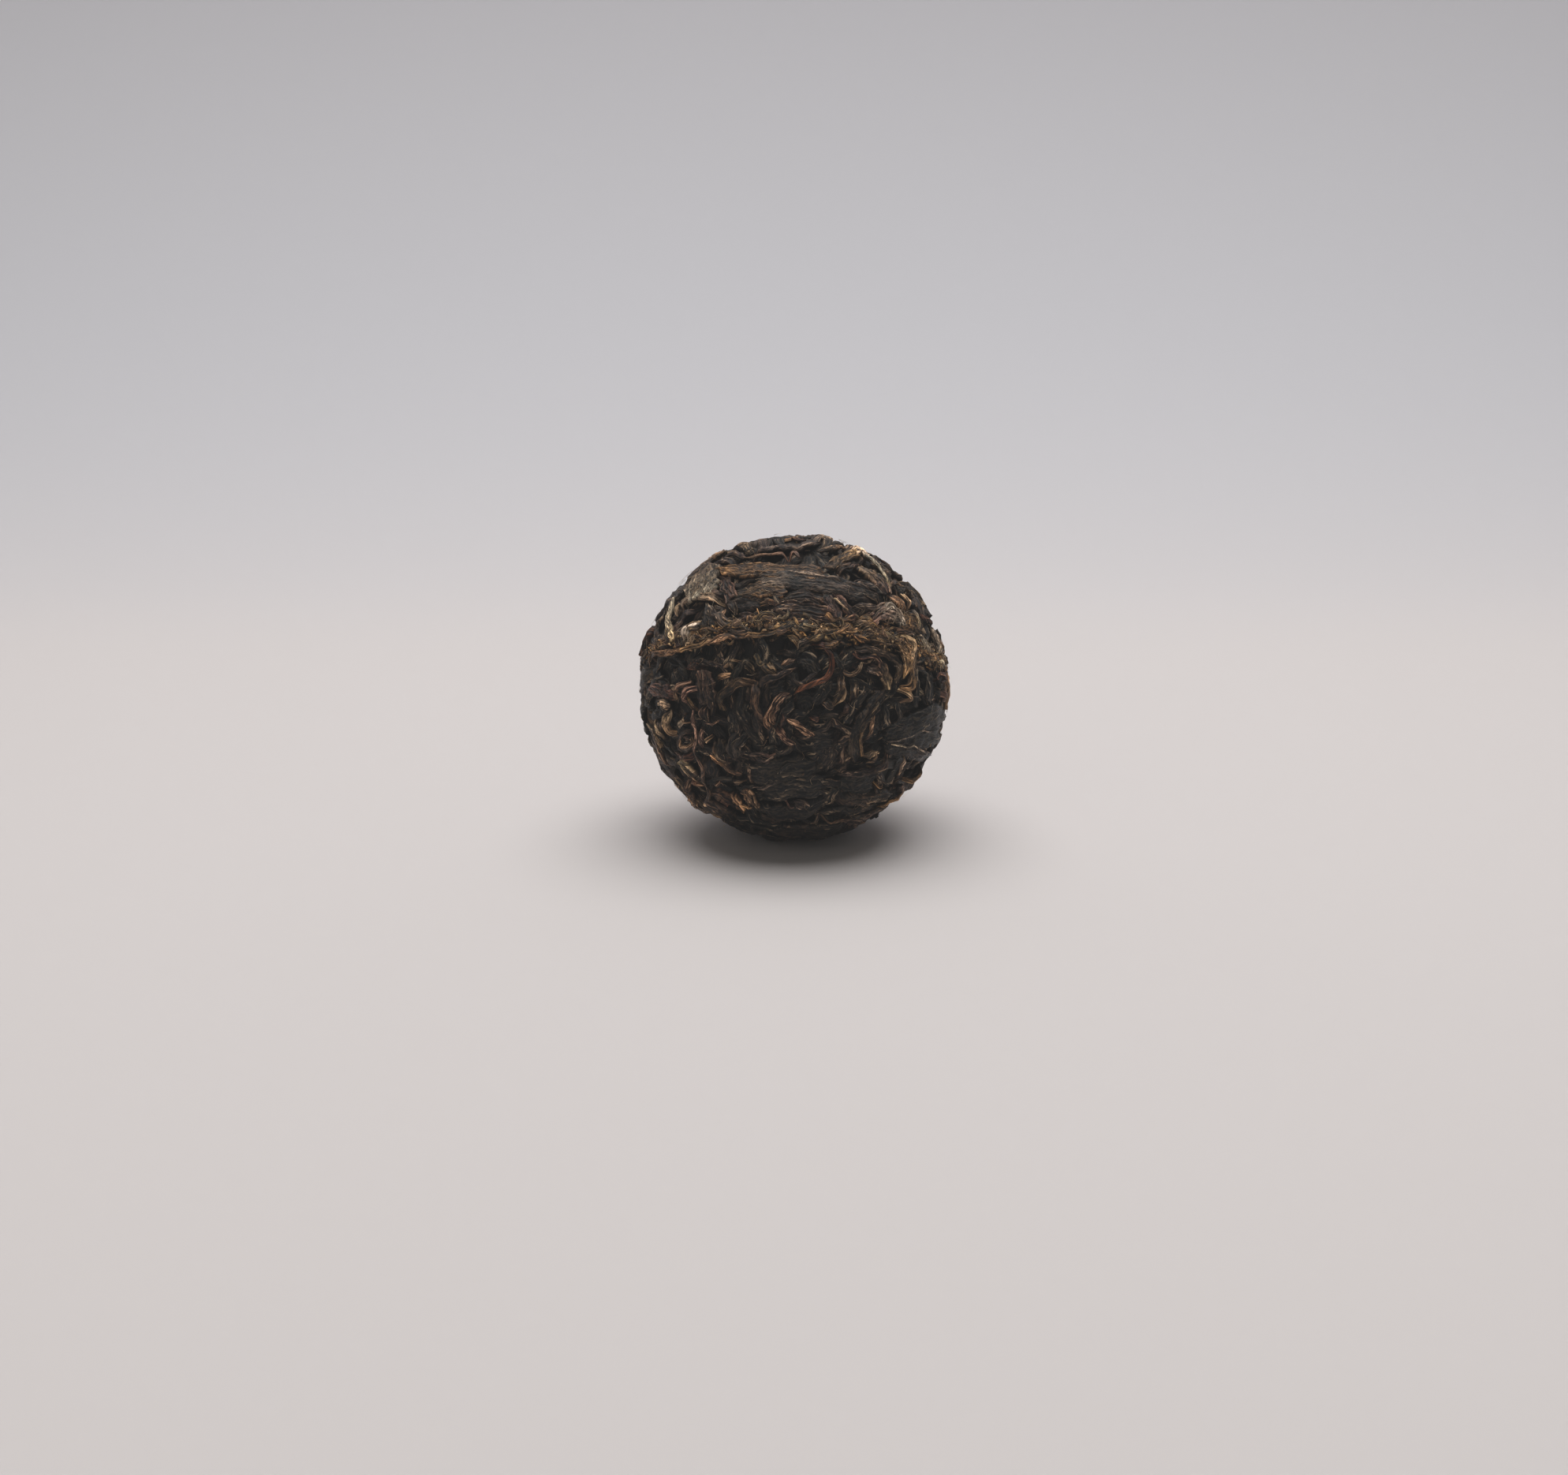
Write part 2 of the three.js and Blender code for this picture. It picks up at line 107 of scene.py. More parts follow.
class Tone(Enum):
    """Colours of cured tea leaf, as a sorter would name them; the darkest carry painted shade, CREAM a
    painted highlight.
    """

    # BLACK, SLATE and GREEN are dark leaf tones taken darker still as painted shade: they lie on deep leaves
    # and on the ball's lower half
    BLACK = "#120f0c"
    SLATE = "#1c1b1a"
    PLUM = "#3d2b27"
    GREY = "#655347"
    GREEN = "#221e17"
    OLIVE = "#4d3b28"
    MOSS = "#6e5434"
    BROWN = "#3f2a1e"
    COCOA = "#54382a"
    TAN = "#916c4e"
    GOLD = "#ad7f50"
    STRAW = "#ccaa80"
    SILVER = "#c4ad92"
    ROSE = "#956c5a"
    RUST = "#5d3221"
    ORANGE = "#7c482a"
    # CREAM is partly the pale leaves' own colour and partly a painted highlight on the brightest leaves and
    # curls
    CREAM = "#dcc7ae"


class Kind(Enum):
    """How a leaf was worked before it was pressed."""

    BROAD = "broad"
    ROLLED = "rolled"


class Grade(Enum):
    """How finely a leaf is modelled, by how near the eye comes to it."""

    FINE = "fine"
    MEDIUM = "medium"
    COARSE = "coarse"


class End(Enum):
    """How a leaf ends: its share of the full width, how far it sinks in mm, and how torn it is."""

    TUCKED = (0.9, 0.75, 0.0)
    POINTED = (0.1, 0.2, 0.1)
    TORN = (0.8, 0.08, 1.0)
    BLUNT = (0.35, 0.3, 0.3)
    OPEN = (1.0, 0.1, 0.6)


class Draws:
    """One repeatable stream of draws between 0 and 1, the same as the solid's own rule uses."""

    def __init__(self, seed: int) -> None:
        """Starts the stream from any whole number."""
        self.state = seed & 0xFFFFFFFF

    def next(self) -> float:
        """Draws the next number.

        Returns:
            A number from 0 up to 1.
        """
        self.state = (self.state + 0x6D2B79F5) & 0xFFFFFFFF
        mix = ((self.state ^ (self.state >> 15)) * (self.state | 1)) & 0xFFFFFFFF
        mix ^= (mix + (((mix ^ (mix >> 7)) * (mix | 61)) & 0xFFFFFFFF)) & 0xFFFFFFFF
        return ((mix ^ (mix >> 14)) & 0xFFFFFFFF) / 4294967296

    def between(self, span: tuple[float, float]) -> float:
        """Draws a number between two limits."""
        return span[0] + (span[1] - span[0]) * self.next()


@dataclass(frozen=True)
class Mould:
    """The round two-part mould that shaped the pearl, in millimetres and degrees."""

    radius: float = 12.0
    flat_spot: float = 6.4
    seam_lean_back: float = 28.1
    seam_lean_right: float = 1.7
    seam_above_middle: float = 1.65
    limb_share: float = 0.9995
    eye_raised: float = 13.5
    eye_away: float = 177.0

    @property
    def middle(self) -> np.ndarray:
        """Where the middle of the ball is, above the flat spot that it rests on."""
        return np.array([0.0, 0.0, math.sqrt(self.radius ** 2 - (self.flat_spot / 2) ** 2)])

    @property
    def seam_normal(self) -> np.ndarray:
        """The direction that the cap's half of the mould faced."""
        lean, tilt = math.radians(self.seam_lean_back), math.radians(self.seam_lean_right)
        return unit(np.array([math.sin(tilt), math.sin(lean), math.cos(lean)]))

    @property
    def front(self) -> "Face":
        """The face that shows best, as an eye sees it from near by."""
        rise = math.radians(self.eye_raised)
        return Face(np.array([0.0, -math.cos(rise), math.sin(rise)]), self, self.eye_away)

    def above_seam(self, out: np.ndarray) -> np.ndarray:
        """How far above the seam's plane directions on the surface lie, in millimetres."""
        return out @ self.seam_normal * self.radius - self.seam_above_middle


@dataclass(frozen=True)
class Face:
    """A patch of the ball, seen square on or, where it has a distance, from near by."""

    out: np.ndarray
    mould: Mould
    away: float = 0.0
    pole: float = 0.05

    @property
    def level(self) -> float:
        """How far from straight up or down the face looks, from 0 to 1."""
        return math.hypot(self.out[0], self.out[1])

    @property
    def right(self) -> np.ndarray:
        """The direction to the right across the face.

        Returns:
            A unit vector, level unless the face looks straight up or down.
        """
        if self.level > self.pole:
            return np.array([-self.out[1] / self.level, self.out[0] / self.level, 0.0])
        return unit(np.cross(self.up, self.out))

    @property
    def up(self) -> np.ndarray:
        """The direction up across the face."""
        return unit(np.cross(self.out, self.right if self.level > self.pole else [1, 0, 0]))

    def spot(self, u: np.ndarray, v: np.ndarray) -> np.ndarray:
        """Finds the directions, from the ball's middle, of points across the face.

        Args:
            u: Millimetres to the right of the face's middle.
            v: Millimetres above it.

        Returns:
            One unit vector for each point.
        """
        radius = self.mould.radius
        reach = np.minimum(1.0, self.mould.limb_share * radius / np.maximum(np.hypot(u, v), 1e-9))
        flat = np.outer(u * reach, self.right) + np.outer(v * reach, self.up)
        if not self.away:
            rise = np.sqrt(radius ** 2 - (flat ** 2).sum(1))
            return unit(flat + np.outer(rise, self.out))
        eye = self.out * self.away
        sight = flat * (self.away / math.sqrt(self.away ** 2 - radius ** 2)) - eye
        a = (sight ** 2).sum(1)
        b = sight @ eye
        c = self.away ** 2 - radius ** 2
        step = (-b - np.sqrt(np.maximum(0.0, b * b - a * c))) / a
        return unit(eye + sight * step[:, None])


Path = tuple[float, ...]


def bowed(u0: float, v0: float, u1: float, v1: float, bow: float) -> Path:
    """Draws a run between two points, with its middle swung to its left.

    Args:
        u0: How far right its foot is, in millimetres.
        v0: How far up its foot is.
        u1: How far right its tip is.
        v1: How far up its tip is.
        bow: How far its middle is swung.

    Returns:
        Three points, one after the other.
    """
    chord = math.hypot(u1 - u0, v1 - v0)
    middle_u = (u0 + u1) / 2 - (v1 - v0) * bow / chord
    middle_v = (v0 + v1) / 2 + (u1 - u0) * bow / chord
    return (u0, v0, middle_u, middle_v, u1, v1)


def arc(u: float, v: float, radius: float, first: float, turn: float, winds_in: float = 0.0) -> Path:
    """Draws a run that curls round a middle.

    Args:
        u: How far right the middle is, in millimetres.
        v: How far up the middle is.
        radius: The curl's radius.
        first: The angle at its foot, in degrees.
        turn: The degrees that it turns through.
        winds_in: The share of its radius that it loses on the way.

    Returns:
        Its points, one after the other.
    """
    count = max(4, int(abs(turn) / 30))
    points = []
    for i in range(count + 1):
        angle = math.radians(first + turn * i / count)
        reach = radius * (1 - winds_in * i / count)
        points += [u + reach * math.cos(angle), v + reach * math.sin(angle)]
    return tuple(points)


@dataclass
class Leaf:
    """One leaf laid on the ball, along a path across a face: u and v of each point, in millimetres.

    Deep is how far the leaf's top lies below the mould's surface, and lean lifts its left edge.
    """

    on: Face
    path: Path
    wide: float
    deep: float
    tone: Tone
    tip: Tone
    foot_end: Optional[End] = None
    tip_end: Optional[End] = None
    kind: Kind = Kind.ROLLED
    lean: Optional[float] = None

    def route(self, along: np.ndarray) -> tuple[np.ndarray, np.ndarray]:
        """Follows a smooth curve through the path's points.

        Args:
            along: Shares of the run, from 0 at the foot to 1 at the tip.

        Returns:
            How far right and how far up across the face each point lies.
        """
        points = np.array(self.path).reshape(-1, 2)
        steps = np.linalg.norm(np.diff(points, axis=0), axis=1)
        reached = np.concatenate([[0.0], np.cumsum(steps)])
        slopes = np.gradient(points, reached, axis=0)
        at = along * reached[-1]
        i = np.clip(np.searchsorted(reached, at, side="right") - 1, 0, len(steps) - 1)
        t = ((at - reached[i]) / steps[i])[:, None]
        step = steps[i][:, None]
        place = ((1 + 2 * t) * (1 - t) ** 2 * points[i] + t * t * (3 - 2 * t) * points[i + 1]
                 + step * (t * (1 - t) ** 2 * slopes[i] - t * t * (1 - t) * slopes[i + 1]))
        return place[:, 0], place[:, 1]

    def stations(self, along: np.ndarray) -> tuple[np.ndarray, np.ndarray]:
        """Finds where on the ball the leaf is, and which way is across it.

        Args:
            along: Shares of the run.

        Returns:
            Unit vectors out from the ball's middle, and unit vectors across the leaf.
        """
        gap = 0.03
        here = self.on.spot(*self.route(along))
        run = self.on.spot(*self.route(along + gap)) - self.on.spot(*self.route(along - gap))
        run -= here * (run * here).sum(1, keepdims=True)
        run += 1e-9
        return here, unit(np.cross(unit(run), here))

    def length(self) -> float:
        """Measures the leaf's run over the ball, in millimetres."""
        here = self.on.spot(*self.route(np.linspace(0, 1, 25)))
        return float(np.linalg.norm(np.diff(here, axis=0), axis=1).sum()) * self.on.mould.radius


# Broad leaves of the front face: path, width, depth, tone at the foot and at the tip, ends
FRONT_BROAD = [
    # the cap
    ((-6.1, 9.35, -4.4, 9.35, -1.5, 9.25, 1.2, 9.15, 3.2, 8.6), 1.6, 0.0, Tone.GOLD, Tone.TAN,
     End.POINTED, End.TUCKED),
    ((-4.0, 8.25, -0.5, 8.5, 3.0, 8.1, 5.4, 7.5, 6.9, 7.1), 1.7, 0.05, Tone.GREY, Tone.PLUM,
     End.TUCKED, End.TUCKED),
    ((-4.3, 7.4, -2.6, 7.8, -0.8, 7.65), 1.4, -0.04, Tone.MOSS, Tone.GOLD, End.TORN, End.TORN),
    ((-6.9, 9.8, -7.25, 8.6, -7.6, 7.0), 3.0, -0.02, Tone.TAN, Tone.CREAM, End.POINTED, End.OPEN),
    ((-5.8, 8.8, -5.3, 7.9, -4.9, 7.0), 1.05, 0.06, Tone.RUST, Tone.ROSE, End.POINTED, End.OPEN),
    ((-4.9, 6.5, -3.5, 6.65, -1.9, 6.5), 1.1, 0.1, Tone.GREY, Tone.BROWN, End.TORN, End.TUCKED),
    ((-1.2, 6.9, 0.8, 7.1, 3.0, 6.6), 1.15, 0.04, Tone.OLIVE, Tone.COCOA, End.BLUNT, End.TUCKED),
    ((-2.1, 5.85, 0.5, 6.15, 3.1, 5.5), 1.35, 0.05, Tone.BROWN, Tone.COCOA, End.BLUNT, End.TORN),
    ((-2.4, 4.7, -1.3, 4.95, -0.2, 4.95), 0.9, 0.22, Tone.SLATE, Tone.SLATE, End.POINTED, End.TUCKED),
    ((2.4, 7.5, 2.9, 6.6, 3.4, 5.4), 1.0, 0.0, Tone.PLUM, Tone.ROSE, End.BLUNT, End.TORN),
    ((3.1, 7.4, 3.9, 6.5, 4.6, 5.6), 0.7, 0.04, Tone.ROSE, Tone.COCOA, End.POINTED, End.TORN),
    ((8.2, 8.3, 9.2, 7.6, 9.9, 6.9, 10.5, 5.7), 1.2, 0.0, Tone.OLIVE, Tone.BROWN, End.TUCKED, End.TORN),
    ((6.1, 5.4, 7.0, 6.0, 7.9, 5.8, 8.5, 4.8), 1.4, -0.1, Tone.ROSE, Tone.CREAM, End.TORN, End.TORN),
    ((-7.1, 6.1, -6.9, 5.0, -7.0, 4.0), 1.5, 0.1, Tone.SLATE, Tone.SLATE, End.BLUNT, End.TUCKED),
    ((5.2, 10.1, 5.8, 9.2, 6.8, 8.3, 7.4, 7.5), 1.5, -0.06, Tone.STRAW, Tone.ROSE, End.TUCKED, End.TORN),
    ((8.4, 5.2, 9.2, 5.2, 10.0, 4.6), 1.5, 0.05, Tone.GOLD, Tone.OLIVE, End.TORN, End.TORN),
    # the bowl, right, and one deep leaf left of its middle; their black and slate tones are partly painted
    # shade
    ((7.1, -4.2, 9.0, -3.2, 11.8, -1.9), 1.7, 0.0, Tone.SLATE, Tone.BLACK, End.POINTED, End.OPEN),
    ((7.1, -4.6, 9.4, -4.2, 11.6, -3.6), 1.8, 0.04, Tone.BLACK, Tone.SLATE, End.POINTED, End.OPEN),
    ((-4.9, -0.8, -4.5, -2.2, -4.0, -3.6), 1.9, 0.7, Tone.BLACK, Tone.BLACK, End.TUCKED, End.TUCKED),
    ((7.2, -4.6, 8.8, -5.0, 10.5, -5.5), 1.0, 0.05, Tone.SLATE, Tone.PLUM, End.POINTED, End.TORN),
    ((7.4, -0.1, 6.3, -1.3, 5.6, -2.4, 5.0, -3.6, 4.75, -4.8, 4.9, -5.9), 1.05, 0.0, Tone.BROWN,
     Tone.OLIVE, End.POINTED, End.BLUNT),
    ((3.7, -7.5, 5.0, -7.7, 6.3, -7.6), 1.6, 0.14, Tone.GREEN, Tone.SLATE, End.TORN, End.OPEN),
    ((3.1, -8.9, 5.2, -8.8, 7.4, -8.5), 1.2, 0.05, Tone.BROWN, Tone.OLIVE, End.TUCKED, End.TORN),
    ((7.0, -1.6, 6.7, -3.0, 6.6, -4.3), 1.1, 0.5, Tone.SLATE, Tone.BLACK, None, End.TUCKED),
    ((10.4, 1.5, 10.8, 0.0, 11.0, -1.6), 1.1, 0.2, Tone.SLATE, Tone.BLACK),
    ((6.2, 1.9, 6.8, 1.7, 7.2, 1.0, 7.45, 0.1), 0.85, 0.0, Tone.RUST, Tone.STRAW, End.BLUNT, End.TORN),
    # the bowl, middle and left, whose deep black and slate leaves are partly painted shade
    ((-7.0, 1.1, -7.0, -0.1, -6.7, -1.5), 1.7, 0.0, Tone.COCOA, Tone.BROWN, End.TORN, End.TORN),
    ((-11.1, -0.1, -10.3, -0.45, -9.4, -0.6), 1.0, 0.0, Tone.ROSE, Tone.RUST, End.TORN, End.BLUNT),
    ((-5.9, -4.1, -5.95, -5.1, -5.1, -6.2), 1.3, 0.05, Tone.OLIVE, Tone.BROWN, End.BLUNT, End.TUCKED),
    ((-4.1, -3.7, -4.8, -4.5, -4.6, -5.5, -3.9, -6.3), 1.2, 0.16, Tone.SLATE, Tone.GREY, End.TUCKED,
     End.TUCKED),
    ((-4.3, -7.2, -1.5, -6.7, 2.6, -6.4), 2.0, 0.08, Tone.BLACK, Tone.GREEN, End.TUCKED, End.TUCKED),
    ((-3.3, -8.5, 0.0, -7.9, 3.2, -8.0), 2.1, 0.04, Tone.BLACK, Tone.SLATE, End.TUCKED, End.TUCKED),
    ((-3.1, -9.5, -1.0, -9.9, 2.6, -9.5), 1.7, 0.0, Tone.BLACK, Tone.SLATE, End.BLUNT, End.TUCKED),
    ((0.4, -5.0, 2.0, -4.4, 4.2, -4.2), 2.2, 0.3, Tone.BLACK, Tone.SLATE, End.TUCKED, End.TUCKED),
    ((1.4, -7.2, 2.6, -5.6, 3.4, -3.2), 2.1, 0.4, Tone.BLACK, Tone.BROWN, End.TUCKED, End.TUCKED),
    ((0.2, 2.2, 1.1, 2.1, 1.9, 1.3), 1.5, 0.35, Tone.SLATE, Tone.BLACK, End.BLUNT, End.BLUNT),
    ((0.3, -1.6, 1.0, -1.2, 1.8, -2.0), 1.4, 0.38, Tone.SLATE, Tone.BLACK, End.BLUNT, End.TUCKED),
    ((2.0, -2.5, 3.0, -2.3, 4.0, -2.8), 1.3, 0.42, Tone.BLACK, Tone.SLATE, End.BLUNT, End.TUCKED),
    ((-2.4, -0.8, -1.4, -0.2, -0.3, 0.3), 1.3, 0.5, Tone.SLATE, Tone.BLACK, End.TUCKED, End.TUCKED),
    ((-7.2, -5.2, -6.8, -6.4, -6.5, -7.7), 1.4, 0.16, Tone.COCOA, Tone.BROWN, End.TUCKED, End.TUCKED),
    ((-7.1, -9.1, -6.0, -9.5, -5.1, -10.3), 1.7, 0.0, Tone.COCOA, Tone.BROWN, End.BLUNT, End.TORN),
    ((-6.7, -8.3, -5.6, -8.6, -4.9, -9.3), 0.9, 0.0, Tone.TAN, Tone.RUST, End.POINTED, End.TORN),
    ((-5.0, -8.4, -4.5, -8.9, -4.0, -9.8), 0.7, 0.0, Tone.TAN, Tone.GOLD, End.BLUNT, End.POINTED),
    ((-4.1, -8.1, -3.5, -8.6, -3.1, -9.4), 1.0, 0.03, Tone.TAN, Tone.OLIVE, End.TORN, End.TORN),
    ((-9.1, -5.9, -8.4, -6.2, -7.8, -7.0), 1.0, 0.0, Tone.STRAW, Tone.COCOA, End.POINTED, End.TORN),
    ((-9.7, -5.0, -9.2, -5.8, -8.6, -7.2), 1.1, 0.12, Tone.BLACK, Tone.BROWN, End.TUCKED, End.BLUNT),
    ((-11.0, 4.8, -11.7, 3.5, -11.9, 2.2), 0.9, -0.28, Tone.ORANGE, Tone.ORANGE, End.BLUNT, End.TORN),
    ((-8.7, -7.4, -8.2, -8.3, -7.6, -9.4), 0.9, 0.05, Tone.COCOA, Tone.TAN, End.TUCKED, End.TORN),
]

# Rolled strands of the front face, in the same terms
FRONT_ROLLED = [
    # top of the cap
    ((-5.0, 10.5, -4.2, 11.0, -3.2, 10.7), 0.9, 0.0, Tone.BROWN, Tone.OLIVE),
    ((-3.3, 10.9, -2.6, 11.4, -2.2, 10.9), 0.8, 0.0, Tone.GREY, Tone.PLUM),
    ((-2.3, 11.1, -1.5, 11.6, -0.8, 11.2), 0.8, 0.0, Tone.PLUM, Tone.SLATE),
    ((-3.4, 10.55, -1.5, 10.95, 0.2, 11.0, 1.4, 11.3, 2.2, 11.7), 0.75, 0.0, Tone.PLUM, Tone.GREY),
    ((-0.9, 11.4, -0.2, 11.65, 0.5, 11.5), 0.4, 0.0, Tone.GOLD, Tone.RUST),
    ((0.0, 11.65, 0.6, 11.55, 1.1, 11.65), 0.35, 0.0, Tone.ORANGE, Tone.RUST),
    ((-6.3, 9.7, -5.4, 9.95, -4.4, 10.0), 0.6, 0.05, Tone.PLUM, Tone.SLATE),
    ((-5.9, 10.2, -4.8, 10.4, -3.6, 10.3), 0.55, 0.02, Tone.BROWN, Tone.PLUM),
    ((-3.8, 10.2, -2.2, 10.4, -0.3, 10.3), 0.3, 0.0, Tone.TAN, Tone.ROSE),
    ((-0.5, 10.3, 0.0, 10.45, 0.3, 10.2), 0.35, 0.0, Tone.ROSE, Tone.COCOA),
    ((1.4, 11.4, 2.0, 11.75, 2.5, 11.5, 2.45, 11.0), 0.75, 0.0, Tone.GREY, Tone.OLIVE),
    ((2.4, 11.7, 3.4, 11.35, 4.4, 11.0), 0.5, 0.15, Tone.GREY, Tone.OLIVE),
    ((2.0, 10.65, 3.0, 10.95, 4.2, 11.1), 0.45, 0.05, Tone.OLIVE, Tone.TAN),
    ((2.3, 9.4, 3.5, 9.9, 4.6, 10.55, 5.4, 10.4), 0.9, 0.0, Tone.BROWN, Tone.GOLD, End.POINTED, End.TUCKED),
    ((4.3, 10.4, 5.0, 10.65, 5.8, 10.25), 0.8, -0.08, Tone.STRAW, Tone.CREAM),
    ((3.2, 9.15, 4.2, 9.6, 5.2, 9.8), 0.6, 0.08, Tone.BROWN, Tone.COCOA),
    ((5.6, 10.3, 6.5, 9.3, 7.0, 8.6, 7.5, 7.9), 0.34, -0.12, Tone.CREAM, Tone.STRAW),
    ((5.6, 10.6, 7.0, 9.75, 8.0, 8.9), 0.8, 0.0, Tone.COCOA, Tone.BROWN),
    ((4.2, 8.1, 5.4, 8.2, 6.8, 7.4), 0.75, 0.06, Tone.PLUM, Tone.SLATE),
    ((4.0, 7.45, 5.5, 7.45, 7.2, 6.7), 0.8, 0.02, Tone.SLATE, Tone.GREY, End.POINTED, End.TUCKED),
    # left of the cap
    ((-5.6, 6.95, -6.5, 7.15, -7.3, 7.2, -8.1, 7.0, -8.8, 6.6, -9.2, 6.0), 0.75, 0.0, Tone.STRAW,
     Tone.SILVER),
    ((-5.7, 7.4, -7.0, 7.55, -8.2, 7.3), 0.4, 0.1, Tone.GREY, Tone.TAN),
    ((-9.3, 7.2, -9.65, 6.3, -9.8, 5.4, -9.6, 4.5, -9.4, 3.7), 0.65, -0.05, Tone.CREAM, Tone.STRAW),
    ((-8.8, 7.0, -9.2, 6.3, -9.2, 5.6), 0.42, 0.0, Tone.STRAW, Tone.TAN),
    ((-8.0, 6.4, -8.9, 5.4, -9.3, 4.5, -9.2, 3.2), 0.65, 0.08, Tone.PLUM, Tone.COCOA),
    ((-7.95, 5.5, -8.35, 4.6, -8.7, 3.2), 0.8, -0.04, Tone.CREAM, Tone.SILVER),
    ((-8.0, 4.5, -8.05, 3.9, -8.2, 3.2), 0.45, 0.02, Tone.TAN, Tone.STRAW),
    ((-7.6, 4.9, -7.7, 4.1, -7.8, 3.4), 0.4, 0.15, Tone.GREY, Tone.COCOA),
    ((-7.0, 6.65, -6.5, 5.95, -6.1, 5.0), 0.8, 0.0, Tone.GREEN, Tone.GREY, End.BLUNT, End.BLUNT),
    ((-5.3, 7.0, -4.9, 6.5, -4.6, 5.8), 0.7, 0.0, Tone.GREY, Tone.OLIVE, End.BLUNT, End.BLUNT),
    ((-5.85, 6.3, -5.95, 5.6, -5.5, 5.0, -4.8, 4.9, -4.35, 5.3, -4.55, 6.0), 0.65, 0.0, Tone.GREY,
     Tone.TAN, End.BLUNT, End.TUCKED),
    ((-5.45, 6.1, -5.5, 5.6, -5.1, 5.3), 0.3, 0.06, Tone.TAN, Tone.GREY),
    ((-10.2, 5.9, -10.8, 4.6, -10.9, 3.6), 0.6, 0.08, Tone.OLIVE, Tone.BROWN),
    ((-3.9, 6.1, -3.6, 5.4, -3.5, 4.6), 0.5, 0.04, Tone.GOLD, Tone.BROWN),
    ((-4.4, 5.4, -3.6, 5.6, -3.0, 5.1), 0.8, 0.1, Tone.BROWN, Tone.COCOA, End.TORN, End.TORN),
    ((-2.95, 5.9, -2.7, 5.3, -2.6, 4.6), 0.45, 0.0, Tone.GOLD, Tone.OLIVE, End.TORN, End.TORN),
    ((-2.6, 6.6, -1.9, 6.8, -1.3, 6.55), 0.4, 0.0, Tone.GOLD, Tone.RUST, End.TORN, End.TORN),
    ((-2.2, 5.3, -1.2, 5.45, -0.3, 5.2), 0.2, 0.02, Tone.STRAW, Tone.OLIVE),
    # right of the cap
    ((7.35, 7.4, 7.55, 8.0, 8.0, 8.3, 8.45, 7.9), 0.38, 0.0, Tone.COCOA, Tone.TAN),
    ((7.4, 7.4, 8.3, 6.6, 8.8, 5.7), 0.85, 0.0, Tone.TAN, Tone.GOLD, End.BLUNT, End.TUCKED),
    ((8.4, 7.35, 8.9, 6.8, 9.2, 6.1), 0.45, 0.0, Tone.STRAW, Tone.TAN),
    ((8.8, 7.7, 9.4, 7.0, 9.7, 6.2), 0.5, 0.02, Tone.OLIVE, Tone.COCOA),
    ((8.5, 6.0, 9.0, 5.6, 9.1, 4.8), 0.5, 0.0, Tone.MOSS, Tone.GOLD, End.TORN, End.TORN),
    ((9.3, 6.1, 9.6, 5.5, 9.8, 4.7), 0.5, 0.0, Tone.GREY, Tone.STRAW, End.TORN, End.TORN),
    ((8.1, 4.6, 8.8, 4.3, 9.6, 4.2), 0.45, 0.0, Tone.TAN, Tone.OLIVE, End.TORN, End.TORN),
    ((10.0, 5.6, 10.5, 5.3, 10.9, 4.7), 0.5, 0.0, Tone.RUST, Tone.PLUM),
    ((10.1, 4.7, 10.3, 3.5, 10.4, 2.2), 0.7, 0.0, Tone.SILVER, Tone.GREY),
    ((10.9, 5.0, 11.2, 3.6, 11.5, 2.2), 0.75, 0.0, Tone.GREY, Tone.SILVER),
    ((11.2, 4.5, 11.6, 3.4, 11.5, 2.4), 0.5, 0.0, Tone.SLATE, Tone.PLUM),
    ((11.3, 2.2, 11.6, 1.8, 11.75, 1.4), 0.5, 0.0, Tone.SILVER, Tone.GREY),
    ((4.6, 6.45, 5.8, 6.4, 7.0, 6.1), 0.5, 0.02, Tone.GREY, Tone.BROWN),
    ((6.8, 6.1, 7.4, 6.3, 8.0, 5.8), 0.6, -0.1, Tone.CREAM, Tone.CREAM, End.TORN, End.TORN),
    ((4.8, 5.2, 5.5, 5.5, 6.5, 4.95), 0.35, 0.0, Tone.GOLD, Tone.STRAW),
    ((3.3, 5.45, 4.0, 5.25, 4.8, 5.5), 0.45, 0.0, Tone.GOLD, Tone.RUST, End.TORN, End.TORN),
    ((4.5, 4.9, 5.4, 5.0, 6.2, 4.6, 7.3, 4.75), 0.45, 0.0, Tone.OLIVE, Tone.TAN),
    ((5.0, 4.5, 5.8, 4.6, 6.6, 4.2, 7.7, 4.35), 0.45, 0.02, Tone.MOSS, Tone.TAN),
    ((5.2, 4.1, 6.2, 4.2, 7.0, 3.85, 7.8, 3.95), 0.42, 0.05, Tone.COCOA, Tone.OLIVE),
    ((2.9, 7.4, 3.7, 6.4, 4.5, 5.6), 0.22, 0.0, Tone.STRAW, Tone.ROSE),
    # the seam's lip
    ((-11.3, 2.4, -10.5, 2.65, -9.4, 2.75, -8.6, 3.0), 0.45, -0.1, Tone.TAN, Tone.GOLD,
     End.TUCKED, End.TORN),
    ((-8.9, 2.9, -8.0, 3.05, -7.0, 3.45, -6.1, 3.7), 0.4, -0.12, Tone.GOLD, Tone.TAN, End.TORN, End.TUCKED),
    ((-6.4, 3.55, -5.3, 3.9, -4.2, 4.0, -3.2, 4.1), 0.42, -0.12, Tone.TAN, Tone.GOLD, End.TORN, End.TORN),
    ((-3.6, 4.2, -2.4, 4.15, -1.5, 4.3, -0.6, 4.7), 0.38, -0.1, Tone.GOLD, Tone.OLIVE,
     End.TORN, End.TUCKED),
    ((1.3, 4.7, 2.4, 4.35, 3.6, 4.5, 4.6, 4.3), 0.42, -0.05, Tone.OLIVE, Tone.GOLD, End.TUCKED, End.TORN),
